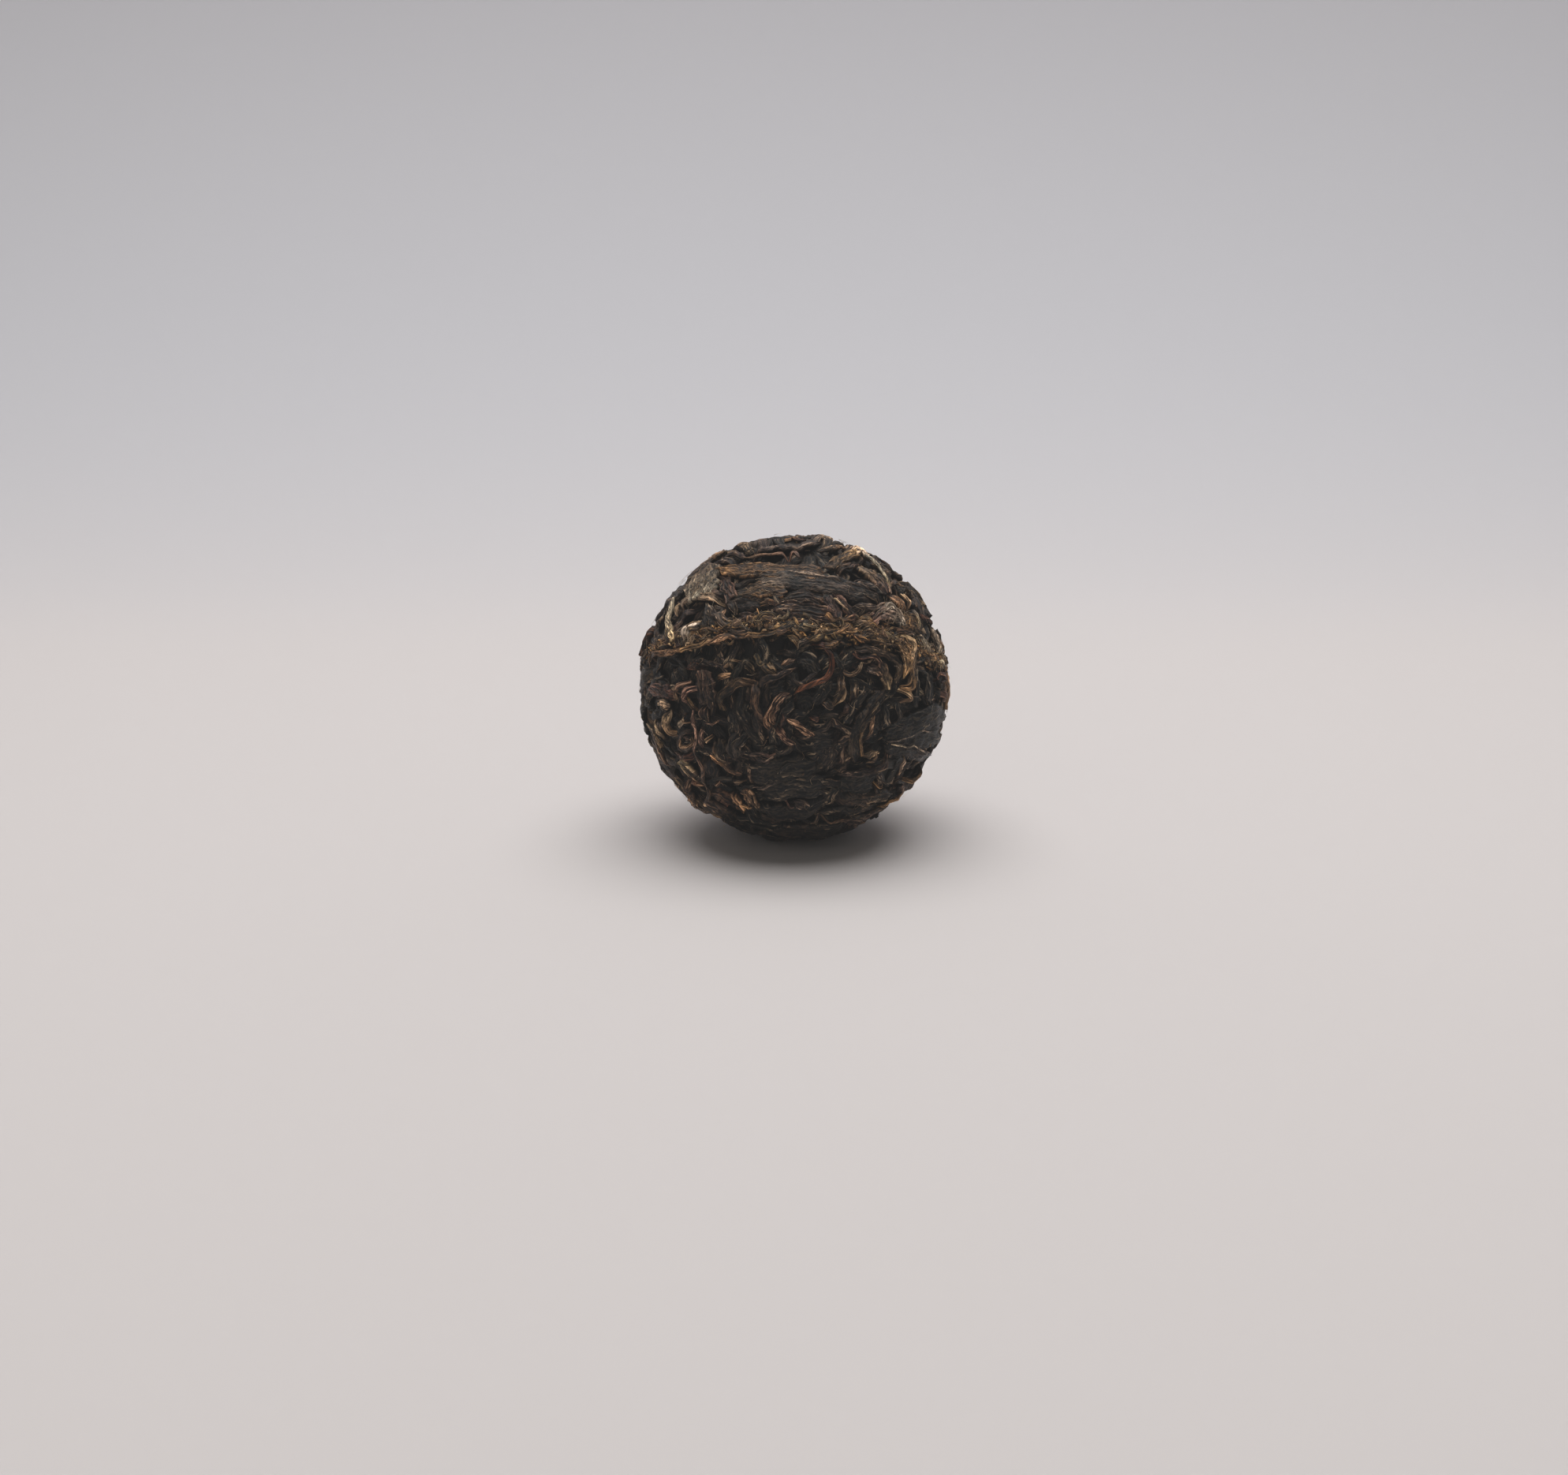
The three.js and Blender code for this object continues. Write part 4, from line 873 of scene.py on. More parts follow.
class Laying:
    """Lays copies of the blanks on the ball, each with its own folds and crumples.

    Sizes are in millimetres. Where a line wanders or kinks, a pair is how far, and its wave.
    """

    pattern_reach = 60.0
    open_ends = (End.TUCKED, End.TUCKED, End.TUCKED, End.TORN, End.TORN, End.POINTED)
    end_crowd = 0.07
    end_run_share = 0.4
    end_run_least = 0.45
    end_run_per_width = 0.7
    end_roundness = 0.7
    floor_lift = (0.0, 0.08)
    floor_soft = 0.03
    # layers of crumple: height, and spacing along and across the leaf
    drift = (0.24, (1.5, 0.9))
    folds = (0.09, (1.2, 0.5))
    ridges = (0.07, (0.8, 0.28))
    fine_ridges = (0.035, (0.4, 0.17))
    ridge_middle = 0.45
    # a rolled leaf
    roll_swell = (0.08, 2.6)
    roll_pinches = (0.2, 0.7)
    roll_twist = (0.3, 4.0)
    roll_twist_per_mm = 0.16
    roll_bend = (0.03, 3.0)
    roll_bend_kinks = (0.12, 0.9)
    roll_level = (0.03, 3.0)
    roll_level_kinks = (0.1, 0.8)
    roll_flatter_per_mm = 0.28
    roll_flattest = 0.5
    roll_pressed_above = 0.45
    roll_tear = (0.3, 0.25)
    crease_fade = (0.35, 3.3)
    crease_usual = 0.75
    crease_limits = (0.2, 1.2)
    crease_narrows = 0.15
    crease_deepest = 0.24
    small_relief = 0.35
    relief_per_mm = 0.75
    # a broad leaf
    sheet_skew = 0.1
    sheet_edges = ((0.08, 2.6), (0.08, 2.2))
    sheet_rag = (0.13, 0.4)
    sheet_bend = (0.05, 4.0)
    sheet_level = (0.02, 2.4)
    sheet_raised = 0.06
    sheet_relief = 0.9
    sheet_tear = 0.35
    tears_per_mm = 3.0
    facets = (0.13, (1.7, 0.8))
    facet_turn = 0.7
    rim_high = 0.1
    rim_at = 0.84
    rim_wide = 0.1
    lean_most = 0.15
    edge_drop = 0.22
    # a hair
    hair_curve = 1.5
    # hairs sit at a crest's level of rubbing and painted shading, so they take the painted highlight
    hair_wear_and_shading = 0.7

    def __init__(self, mould: Mould, seed: int) -> None:
        """Sets the mould that the leaves are pressed against, and the seed of the crumples."""
        self.mould = mould
        self.rng = np.random.default_rng(seed)

    def wander(self, mm: np.ndarray, size: float, wave: float) -> np.ndarray:
        """Draws a smooth wandering line.

        Args:
            mm: Places along it, in millimetres.
            size: How far it wanders.
            wave: Its longest wave, in millimetres.

        Returns:
            The wandering at each place.
        """
        total = np.zeros_like(mm)
        for k in (1, 2, 3.7):
            total += size / k * np.sin(2 * math.pi * mm * k / wave + self.rng.uniform(0, 2 * math.pi))
        return total

    @staticmethod
    def press(above: np.ndarray, soft: float = 0.05) -> np.ndarray:
        """Presses flat what stands above the level that the mould left a leaf at, softly."""
        return -soft * np.logaddexp(0, -above / soft)

    def kinks(self, mm: np.ndarray, size: float, wave: float) -> np.ndarray:
        """Draws the sharp small kinks of a dried leaf along its run, up to a size, a wave apart."""
        line = np.column_stack([mm / wave, np.zeros_like(mm)])
        return size * crumple(line, int(self.rng.integers(1 << 30)), creased=True)

    def place(self, leaf: Leaf, across: np.ndarray, along: np.ndarray,
              radius: np.ndarray) -> np.ndarray:
        """Turns places on a leaf into places in space, none of them below the floor.

        Args:
            leaf: The leaf.
            across: Millimetres to the side of its run.
            along: Shares of its run.
            radius: Millimetres from the ball's middle.

        Returns:
            The points, in metres.
        """
        here, side = leaf.stations(along)
        turn = (across / self.mould.radius)[:, None]
        out = here * np.cos(turn) + side * np.sin(turn)
        xyz = out * radius[:, None] + self.mould.middle
        lift, soft = self.rng.uniform(*self.floor_lift), self.floor_soft
        xyz[:, 2] = lift + soft * np.logaddexp(0, (xyz[:, 2] - lift) / soft)
        return xyz * MM

    def relief(self, uv: np.ndarray, size: float = 1.0) -> np.ndarray:
        """Draws the creases and crumples of a dried leaf, longer along it than across.

        Args:
            uv: Millimetres along and across the leaf.
            size: Their height, as a share of the usual.

        Returns:
            Heights, in millimetres.
        """
        seed = int(self.rng.integers(1 << 30))
        drift = self.drift[0] * crumple(uv / self.drift[1], seed + 5)
        at = uv + np.column_stack([0.5 * drift, drift])
        total = self.folds[0] * crumple(at / self.folds[1], seed, creased=True)
        for step, (high, spacing) in enumerate((self.ridges, self.fine_ridges), start=1):
            total += high * (self.ridge_middle - 2 * np.abs(crumple(at / spacing, seed + step)))
        return size * total

    def ends(self, leaf: Leaf) -> tuple[End, End]:
        """Says how a leaf ends at its foot and at its tip, drawing what the leaf leaves open."""
        drawn = [self.open_ends[self.rng.integers(len(self.open_ends))] for _ in range(2)]
        return leaf.foot_end or drawn[0], leaf.tip_end or drawn[1]

    def outline(self, leaf: Leaf, mm: np.ndarray, long: float) -> tuple[np.ndarray, np.ndarray, np.ndarray]:
        """Works out how a leaf narrows, sinks and frays towards its ends.

        Args:
            leaf: The leaf.
            mm: Places along it, in millimetres.
            long: Its length.

        Returns:
            The share of its width, how far it sinks, and how far it is torn, from -1 to 1.
        """
        run = min(self.end_run_share * long, self.end_run_least + self.end_run_per_width * leaf.wide)
        grow, sink, torn = np.ones_like(mm), np.zeros_like(mm), np.zeros_like(mm)
        for end, opened, way in zip(self.ends(leaf), (ease(mm / run), ease((long - mm) / run)), (-1, 1)):
            wide_share, drop, rag = end.value
            grow *= wide_share + (1 - wide_share) * opened ** self.end_roundness
            sink += drop * (1 - opened)
            torn += way * rag * (1 - opened)
        return grow, sink, torn

    def rolled(self, leaf: Leaf, blank: Blank, groove: float = 0.3, kinked: float = 1.0) -> Laid:
        """Lays a rolled leaf.

        Args:
            leaf: Where and how wide it is.
            blank: The blank to copy.
            groove: How deep its creases are, as a share of its width.
            kinked: How sharply it is kinked, as a share of the usual.

        Returns:
            The laid leaf.
        """
        long = leaf.length()
        along = blank.along - self.end_crowd * np.sin(2 * math.pi * blank.along)
        mm = along * long
        reach = np.maximum(np.hypot(blank.across, blank.high), 1e-6)
        grow, sink, torn = self.outline(leaf, mm, long)
        grow *= 1 + self.wander(mm, *self.roll_swell) + kinked * self.kinks(mm, *self.roll_pinches)
        spin = self.rng.uniform(0, 2 * math.pi) + self.rng.normal(0, self.roll_twist_per_mm) * mm
        spin += self.wander(mm, *self.roll_twist)
        x = (blank.across * np.cos(spin) - blank.high * np.sin(spin)) / reach
        z = (blank.across * np.sin(spin) + blank.high * np.cos(spin)) / reach
        half = leaf.wide / 2
        thick = half * grow * max(self.roll_flattest, 1 - self.roll_flatter_per_mm * leaf.wide)
        fade = np.clip(self.crease_usual + self.wander(mm, *self.crease_fade), *self.crease_limits)
        crease = (1 - blank.crest) * fade
        bend = self.wander(mm, *self.roll_bend) * (1 + leaf.wide)
        bend += kinked * self.kinks(mm, *self.roll_bend_kinks)
        across = x * half * grow * (1 - self.crease_narrows * crease) + bend
        uv = np.column_stack([mm, (np.arctan2(x, z) + spin) * half])
        uv += self.rng.uniform(0, self.pattern_reach, 2)
        relief = self.relief(uv, min(1.0, self.small_relief + self.relief_per_mm * leaf.wide))
        tear, spacing = self.roll_tear
        along = along + torn * tear * crumple(uv / spacing, 3) / long
        level = self.mould.radius - leaf.deep - sink + self.wander(mm, *self.roll_level)
        level += kinked * self.kinks(mm, *self.roll_level_kinks)
        deep = min(self.crease_deepest, groove * leaf.wide) * crease * np.clip(0.6 + 0.4 * z, 0, 1)
        radius = level + self.press(thick * (z - self.roll_pressed_above)) - deep + relief
        # painted shading, partly real rubbing: relief crests pale, as rubbed and as a painted highlight;
        # creases and the roll's underside darker, as painted shade
        wear_and_shading = np.clip(0.45 + 4.5 * relief - 0.5 * crease + 0.3 * np.minimum(z, 0.2), 0, 1)
        return Laid(self.place(leaf, across, along, radius), uv, wear_and_shading, along)

    def sheet(self, leaf: Leaf, blank: Blank) -> Laid:
        """Lays a broad leaf.

        Args:
            leaf: Where and how wide it is.
            blank: The blank to copy.

        Returns:
            The laid leaf.
        """
        long = leaf.length()
        side = np.sign(self.rng.uniform(-1, 1)) * blank.across
        skew = self.rng.uniform(-self.sheet_skew, self.sheet_skew)
        along = blank.along - self.end_crowd * np.sin(2 * math.pi * blank.along)
        along = along + skew * side * (1 - 2 * np.abs(along - 0.5))
        mm = along * long
        grow, sink, torn = self.outline(leaf, mm, long)
        right, left = (self.wander(mm, *swing) for swing in self.sheet_edges)
        edge = np.where(blank.across > 0, right, left)
        rag, spacing = self.sheet_rag
        rim_line = np.column_stack([mm / spacing, np.sign(blank.across) * 9])
        half = leaf.wide / 2 * grow * (1 + edge) + rag * crumple(rim_line, 7, creased=True)
        across = blank.across * half + self.wander(mm, *self.sheet_bend)
        uv = np.column_stack([mm, across]) + self.rng.uniform(0, self.pattern_reach, 2)
        turn = self.rng.uniform(-self.facet_turn, self.facet_turn)
        turned = uv @ np.array([[math.cos(turn), -math.sin(turn)], [math.sin(turn), math.cos(turn)]])
        high, spacing = self.facets
        facets = high * crumple(turned / spacing, int(self.rng.integers(1 << 30)), creased=True)
        rim = self.rim_high * np.exp(-((side - self.rim_at) / self.rim_wide) ** 2)
        lean = leaf.lean
        if lean is None:
            lean = self.rng.uniform(-self.lean_most, self.lean_most)
        drop = self.edge_drop * np.abs(blank.across) ** 6 + sink + abs(lean) * half + lean * across
        relief = self.relief(uv, self.sheet_relief)
        radius = self.mould.radius - leaf.deep + self.sheet_raised + self.press(0.05 + facets + rim - drop)
        radius = radius + blank.high + relief + self.wander(mm + across, *self.sheet_level)
        along = along + torn * self.sheet_tear * crumple(uv * self.tears_per_mm, 5) / long
        # painted shading, partly real rubbing: relief crests, facet peaks and the raised rim pale, as rubbed
        # and as a painted highlight; pleat valleys darker, as painted shade
        wear_and_shading = np.clip(0.42 + 4 * relief - 0.5 * (1 - blank.crest) + 2.5 * rim + facets, 0, 1)
        return Laid(self.place(leaf, across, along, radius), uv, wear_and_shading, along)

    def hair(self, leaf: Leaf, blank: Blank, stand: float) -> Laid:
        """Lays one hair, its tip standing off the leaf under it.

        Args:
            leaf: Where and how wide it is.
            blank: The blank to copy.
            stand: How far its tip stands off, in millimetres.

        Returns:
            The laid hair.
        """
        mm = blank.along * leaf.length()
        half = leaf.wide / 2
        rise = stand * blank.along ** self.hair_curve
        radius = self.mould.radius - leaf.deep + rise + blank.high * half
        uv = np.column_stack([mm, blank.across])
        xyz = self.place(leaf, blank.across * half, blank.along, radius)
        return Laid(xyz, uv, np.full(len(mm), self.hair_wear_and_shading), blank.along)


class JoinedPiece:
    """Many laid leaves of one kind, joined as one mesh with their patterns and tones."""

    def __init__(self, name: str) -> None:
        """Starts an empty piece of that name."""
        self.name = name
        self.copies: list[tuple[Blank, Laid, np.ndarray]] = []

    def add(self, blank: Blank, laid: Laid, tones: np.ndarray) -> None:
        """Adds one laid copy of a blank, with the linear colour at each of its points."""
        self.copies.append((blank, laid, tones))

    def build(self, finish: bpy.types.Material) -> bpy.types.Object:
        """Makes the mesh and its object, and hands it over.

        Args:
            finish: The piece's material.

        Returns:
            The object, at the origin.
        """
        blanks, laid, colours = zip(*self.copies)
        starts = np.cumsum([0] + [len(copy.xyz) for copy in laid])
        count = int(starts[-1])
        corners = np.concatenate([blank.corners + int(start) for blank, start in zip(blanks, starts)])
        sizes = np.concatenate([blank.sizes for blank in blanks])
        mesh = bpy.data.meshes.new(self.name)
        mesh.vertices.add(count)
        mesh.vertices.foreach_set("co", np.concatenate([copy.xyz for copy in laid]).ravel())
        mesh.loops.add(len(corners))
        mesh.loops.foreach_set("vertex_index", corners)
        mesh.polygons.add(len(sizes))
        mesh.polygons.foreach_set("loop_start", np.concatenate([[0], np.cumsum(sizes)[:-1]]))
        mesh.polygons.foreach_set("use_smooth", np.ones(len(sizes), bool))
        mesh.update(calc_edges=True)
        runs = mesh.uv_layers.new(name="leaf_run")
        runs.data.foreach_set("uv", np.concatenate([copy.uv for copy in laid])[corners].ravel())
        tones = mesh.color_attributes.new("leaf_tone", "FLOAT_COLOR", "POINT")
        tones.data.foreach_set("color", np.column_stack([np.concatenate(colours), np.ones(count)]).ravel())
        # rubbing and painted shading: high on crests, which take a painted highlight, low in creases, which
        # take painted shade
        wear_and_shading = mesh.attributes.new("leaf_wear_and_shading", "FLOAT", "POINT")
        wear_and_shading.data.foreach_set("value", np.concatenate([copy.wear_and_shading for copy in laid]))
        mesh.validate()
        obj = bpy.data.objects.new(self.name, mesh)
        bpy.context.scene.collection.objects.link(obj)
        obj.data.materials.append(finish)
        hand_over(obj)
        mesh.calc_loop_triangles()
        LOG.info("%s: %d copies, %d triangles", self.name, len(laid), len(mesh.loop_triangles))
        return obj


def hand_over(obj: bpy.types.Object) -> None:
    """Says what a piece rides on, and hides the imported part that it stands for.

    Args:
        obj: The piece.
    """
    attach(obj, BODY)
    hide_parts(NODE)


def add_node(tree: bpy.types.NodeTree, kind: str, links: Optional[dict] = None,
             values: Optional[dict] = None, **settings: object) -> bpy.types.Node:
    """Adds one shader node with its settings and links.

    Args:
        tree: The material's node tree.
        kind: The node's type name, without its ShaderNode prefix.
        links: Output sockets by the name or number of the input that each feeds.
        values: Fixed values by input name or number.
        settings: The node's own properties.

    Returns:
        The node.
    """
    node = tree.nodes.new("ShaderNode" + kind)
    for key, value in settings.items():
        setattr(node, key, value)
    for key, value in (values or {}).items():
        node.inputs[key].default_value = value
    for key, socket in (links or {}).items():
        tree.links.new(socket, node.inputs[key])
    return node


def spread(tree: bpy.types.NodeTree, value: bpy.types.NodeSocket, source: tuple[float, float],
           target: tuple[float, float]) -> bpy.types.NodeSocket:
    """Spreads a value from its source range over a target range, held at its ends."""
    return add_node(tree, "MapRange", {"Value": value},
                    {"From Min": source[0], "From Max": source[1], "To Min": target[0],
                     "To Max": target[1]}).outputs[0]


@dataclass(frozen=True)
class CuredLeaf:
    """Sun-cured tea leaf, withered, rolled and pressed: a matt skin over close fibres.

    The eye sees fine lines along the leaf, pale on its rubbed crests, which also carry a painted
    highlight, and darkened by painted shade in its creases; patches where one leaf is redder or
    more olive than the next, and a faint sheen.
    """

    name: str = "tea leaf, sun-cured and pressed"
    fibre_mm: float = 0.2
    fibre_run_mm: float = 1.7
    crinkle_mm: float = 0.11
    crinkle_run_mm: float = 0.38
    sway_mm: float = 0.2
    mottle_mm: float = 1.0
    # painted highlight, partly real rubbing: crests take this pale colour mixed with the leaf's tone lifted
    # lit times
    worn_and_highlight: str = "#dcbc98"
    worn_and_highlight_share: float = 0.55
    lit: float = 5.6
    light_of_cloud: tuple[float, float] = (0.6, 1.3)
    light_of_lines: tuple[float, float] = (0.25, 1.4)
    # painted shade: the colour in creases darkens down to this share
    painted_crease_shade: tuple[float, float] = (0.12, 1.05)
    crest_share: tuple[float, float] = (0.1, 1.0)
    rough: tuple[float, float] = (0.4, 0.65)
    bump_mm: float = 0.11
    ior: float = 1.45
    shine: float = 0.3

    def build(self) -> bpy.types.Material:
        """Makes the material.

        Returns:
            The material.
        """
        material = bpy.data.materials.new(self.name)
        material.use_nodes = True
        tree = material.node_tree
        tree.nodes.clear()
        place = add_node(tree, "TexCoord").outputs["Object"]
        tone = add_node(tree, "Attribute", attribute_name="leaf_tone").outputs["Color"]
        wear_and_shading = add_node(tree, "Attribute", attribute_name="leaf_wear_and_shading").outputs["Fac"]
        run = self.swaying_run(tree)
        fibre = self.stripes(tree, run, self.fibre_run_mm, self.fibre_mm, 3.0)
        crinkle = self.stripes(tree, run, self.crinkle_run_mm, self.crinkle_mm, 3.0)
        lines = add_node(tree, "Math", {0: fibre, 1: crinkle}, operation="ADD").outputs[0]
        mottle = add_node(tree, "TexNoise", {"Vector": place},
                          {"Scale": 1 / (self.mottle_mm * MM), "Detail": 4.0}).outputs["Fac"]
        cloud = spread(tree, mottle, (0.32, 0.68), self.light_of_cloud)
        shade = spread(tree, lines, (0.84, 1.16), self.light_of_lines)
        # painted shade: the colour darkens where the leaf's shading value marks a crease
        crease = spread(tree, wear_and_shading, (0.08, 0.66), self.painted_crease_shade)
        gain = add_node(tree, "Math", {0: shade, 1: cloud}, operation="MULTIPLY").outputs[0]
        gain = add_node(tree, "Math", {0: gain, 1: crease}, operation="MULTIPLY").outputs[0]
        base = add_node(tree, "VectorMath", {0: tone, "Scale": gain}, operation="SCALE").outputs[0]
        # painted highlight, partly real rubbing: pale fibre lines on crests mix towards a bright colour,
        # brighter than white for pale tones
        crest = spread(tree, wear_and_shading, (0.42, 0.74), self.crest_share)
        pale = spread(tree, lines, (0.98, 1.13), (0.0, 1.0))
        rub_and_highlight = add_node(tree, "Math", {0: pale, 1: crest}, operation="MULTIPLY").outputs[0]
        bright = add_node(tree, "VectorMath", {0: tone}, {"Scale": self.lit}, operation="SCALE").outputs[0]
        glow = add_node(tree, "Mix", {6: bright}, {0: self.worn_and_highlight_share, 7: (*linear(self.worn_and_highlight), 1)},
                        data_type="RGBA").outputs[2]
        coat = add_node(tree, "Mix", {0: rub_and_highlight, 6: base, 7: glow}, data_type="RGBA").outputs[2]
        rough = spread(tree, mottle, (0.3, 0.7), self.rough)
        bump = add_node(tree, "Bump", {"Height": lines},
                        {"Strength": 1.0, "Distance": self.bump_mm * MM}).outputs[0]
        shader = add_node(tree, "BsdfPrincipled", {"Base Color": coat, "Roughness": rough,
                                                   "Normal": bump},
                          {"IOR": self.ior, "Specular IOR Level": self.shine})
        add_node(tree, "OutputMaterial", {"Surface": shader.outputs[0]})
        return material

    def swaying_run(self, tree: bpy.types.NodeTree) -> bpy.types.NodeSocket:
        """Takes the place along and across the leaf, in millimetres, with a slight sway.

        Args:
            tree: The material's node tree.

        Returns:
            The place.
        """
        run = add_node(tree, "UVMap", uv_map="leaf_run").outputs["UV"]
        drift = add_node(tree, "TexNoise", {"Vector": run}, {"Scale": 1.1, "Detail": 2.0}).outputs["Color"]
        drift = add_node(tree, "VectorMath", {0: drift}, {1: (0.5, 0.5, 0.5)}, operation="SUBTRACT")
        drift = add_node(tree, "VectorMath", {0: drift.outputs[0]}, {1: (0, self.sway_mm * 4, 0)},
                         operation="MULTIPLY").outputs[0]
        return add_node(tree, "VectorMath", {0: run, 1: drift}, operation="ADD").outputs[0]

    @staticmethod
    def stripes(tree: bpy.types.NodeTree, run: bpy.types.NodeSocket, long_mm: float,
                wide_mm: float, detail: float) -> bpy.types.NodeSocket:
        """Draws stripes that follow the leaf.

        Args:
            tree: The material's node tree.
            run: The pattern's place, in millimetres along and across the leaf.
            long_mm: The length of a stripe.
            wide_mm: The spacing of the stripes.
            detail: How many finer layers it holds.

        Returns:
            The stripes, around one half.
        """
        scaled = add_node(tree, "VectorMath", {0: run}, {1: (1 / long_mm, 1 / wide_mm, 1.0)},
                          operation="MULTIPLY").outputs[0]
        noise = add_node(tree, "TexNoise", {"Vector": scaled}, {"Scale": 1.0, "Detail": detail})
        return noise.outputs["Fac"]


@dataclass(frozen=True)
class ShadedHeart:
    """Tea leaf pressed so hard that single leaves are lost: near black as painted shade of the deepest gaps,
    with a dull dry grain.
    """

    name: str = "tea leaf, heart in painted shade"
    # near black: painted shade of the deepest gaps
    dark: str = "#120f0c"
    light: str = "#2b231a"
    grain_mm: float = 0.7
    bump_mm: float = 0.12
    rough: float = 0.85

    def build(self) -> bpy.types.Material:
        """Makes the material.

        Returns:
            The material.
        """
        material = bpy.data.materials.new(self.name)
        material.use_nodes = True
        tree = material.node_tree
        shader = tree.nodes["Principled BSDF"]
        place = add_node(tree, "TexCoord").outputs["Object"]
        grain = add_node(tree, "TexNoise", {"Vector": place},
                         {"Scale": 1 / (self.grain_mm * MM), "Detail": 4.0}).outputs["Fac"]
        share = spread(tree, grain, (0.35, 0.7), (0.0, 1.0))
        coat = add_node(tree, "Mix", {0: share}, {6: (*linear(self.dark), 1), 7: (*linear(self.light), 1)},
                        data_type="RGBA").outputs[2]
        bump = add_node(tree, "Bump", {"Height": grain}, {"Distance": self.bump_mm * MM}).outputs[0]
        tree.links.new(coat, shader.inputs["Base Color"])
        tree.links.new(bump, shader.inputs["Normal"])
        shader.inputs["Roughness"].default_value = self.rough
        return material


@dataclass(frozen=True)
class PaintedBoard:
    """Board painted matt: a warm pale floor that turns cooler and a little darker at the back."""

    name: str = "board, painted matt"
    floor: str = "#d3cdcb"
    wall: str = "#c8c7cb"
    wall_begins_mm: float = 55.0
    wall_full_mm: float = 165.0
    rough: float = 0.9

    def build(self) -> bpy.types.Material:
        """Makes the material.

        Returns:
            The material.
        """
        material = bpy.data.materials.new(self.name)
        material.use_nodes = True
        tree = material.node_tree
        shader = tree.nodes["Principled BSDF"]
        place = add_node(tree, "TexCoord").outputs["Object"]
        back = add_node(tree, "SeparateXYZ", {0: place}).outputs["Y"]
        share = add_node(tree, "MapRange", {"Value": back},
                         {"From Min": self.wall_begins_mm * MM, "From Max": self.wall_full_mm * MM},
                         interpolation_type="SMOOTHSTEP").outputs[0]
        coat = add_node(tree, "Mix", {0: share}, {6: (*linear(self.floor), 1), 7: (*linear(self.wall), 1)},
                        data_type="RGBA").outputs[2]
        tree.links.new(coat, shader.inputs["Base Color"])
        shader.inputs["Roughness"].default_value = self.rough
        return material


@dataclass(frozen=True)
class LeafRule:
    """A seeded rule that lays leaves evenly over the ball, with neighbours headed alike."""

    places: int
    seed: int
    clumps: int = 12
    stray: float = 24.0
    broad_share: float = 0.58
    strand_long: tuple[float, float] = (4.6, 7.4)
    strand_wide: tuple[float, float] = (1.0, 1.6)
    broad_long: tuple[float, float] = (4.8, 7.6)
    broad_wide: tuple[float, float] = (2.2, 3.2)
    bow_most: float = 1.5
    deep: tuple[float, float] = (0.0, 0.3)
    front_from: float = -2.0
    front_limit: float = 0.27
    jitter: float = 0.0
    tone_seed_step: int = 77

    @staticmethod
    def lattice(i: int, count: int) -> np.ndarray:
        """Finds one of many directions spread evenly over the ball.

        Args:
            i: Which one.
            count: How many there are.

        Returns:
            A unit vector.
        """
        z = 1 - (2 * i + 1) / count
        flat = math.sqrt(1 - z * z)
        return np.array([flat * math.cos(GOLDEN_TURN * i), flat * math.sin(GOLDEN_TURN * i), z])

    def leaves(self, mould: Mould, tones: Sequence[Tone]) -> Iterator[Leaf]:
        """Lays out the leaves.

        Args:
            mould: The mould that they are pressed against.
            tones: The tones to draw from.

        Yields:
            Each leaf.
        """
        draw = Draws(self.seed)
        shade = Draws(self.seed + self.tone_seed_step)
        clumps = [(self.lattice(i, self.clumps), draw.next() * math.pi) for i in range(self.clumps)]
        front = mould.front.out
        for i in range(self.places):
            out = self.lattice(i, self.places)
            kind = Kind.BROAD if draw.next() < self.broad_share else Kind.ROLLED
            heading = max(clumps, key=lambda clump: clump[0] @ out)[1]
            heading += math.radians((draw.next() - 0.5) * 2 * self.stray)
            broad = kind is Kind.BROAD
            long = draw.between(self.broad_long if broad else self.strand_long)
            wide = draw.between(self.broad_wide if broad else self.strand_wide)
            bow = (draw.next() - 0.5) * self.bow_most
            deep = draw.between(self.deep)
            foot, tip = (tones[int(shade.next() * len(tones))] for _ in range(2))
            nudge = (np.array([shade.next() for _ in range(3)]) - 0.5) * self.jitter
            out = unit(out + nudge)
            if not self.front_from <= out @ front <= self.front_limit:
                continue
            u, v = math.cos(heading) * long / 2, math.sin(heading) * long / 2
            yield Leaf(Face(out, mould), bowed(-u, -v, u, v, bow), wide, deep, foot, tip, kind=kind)


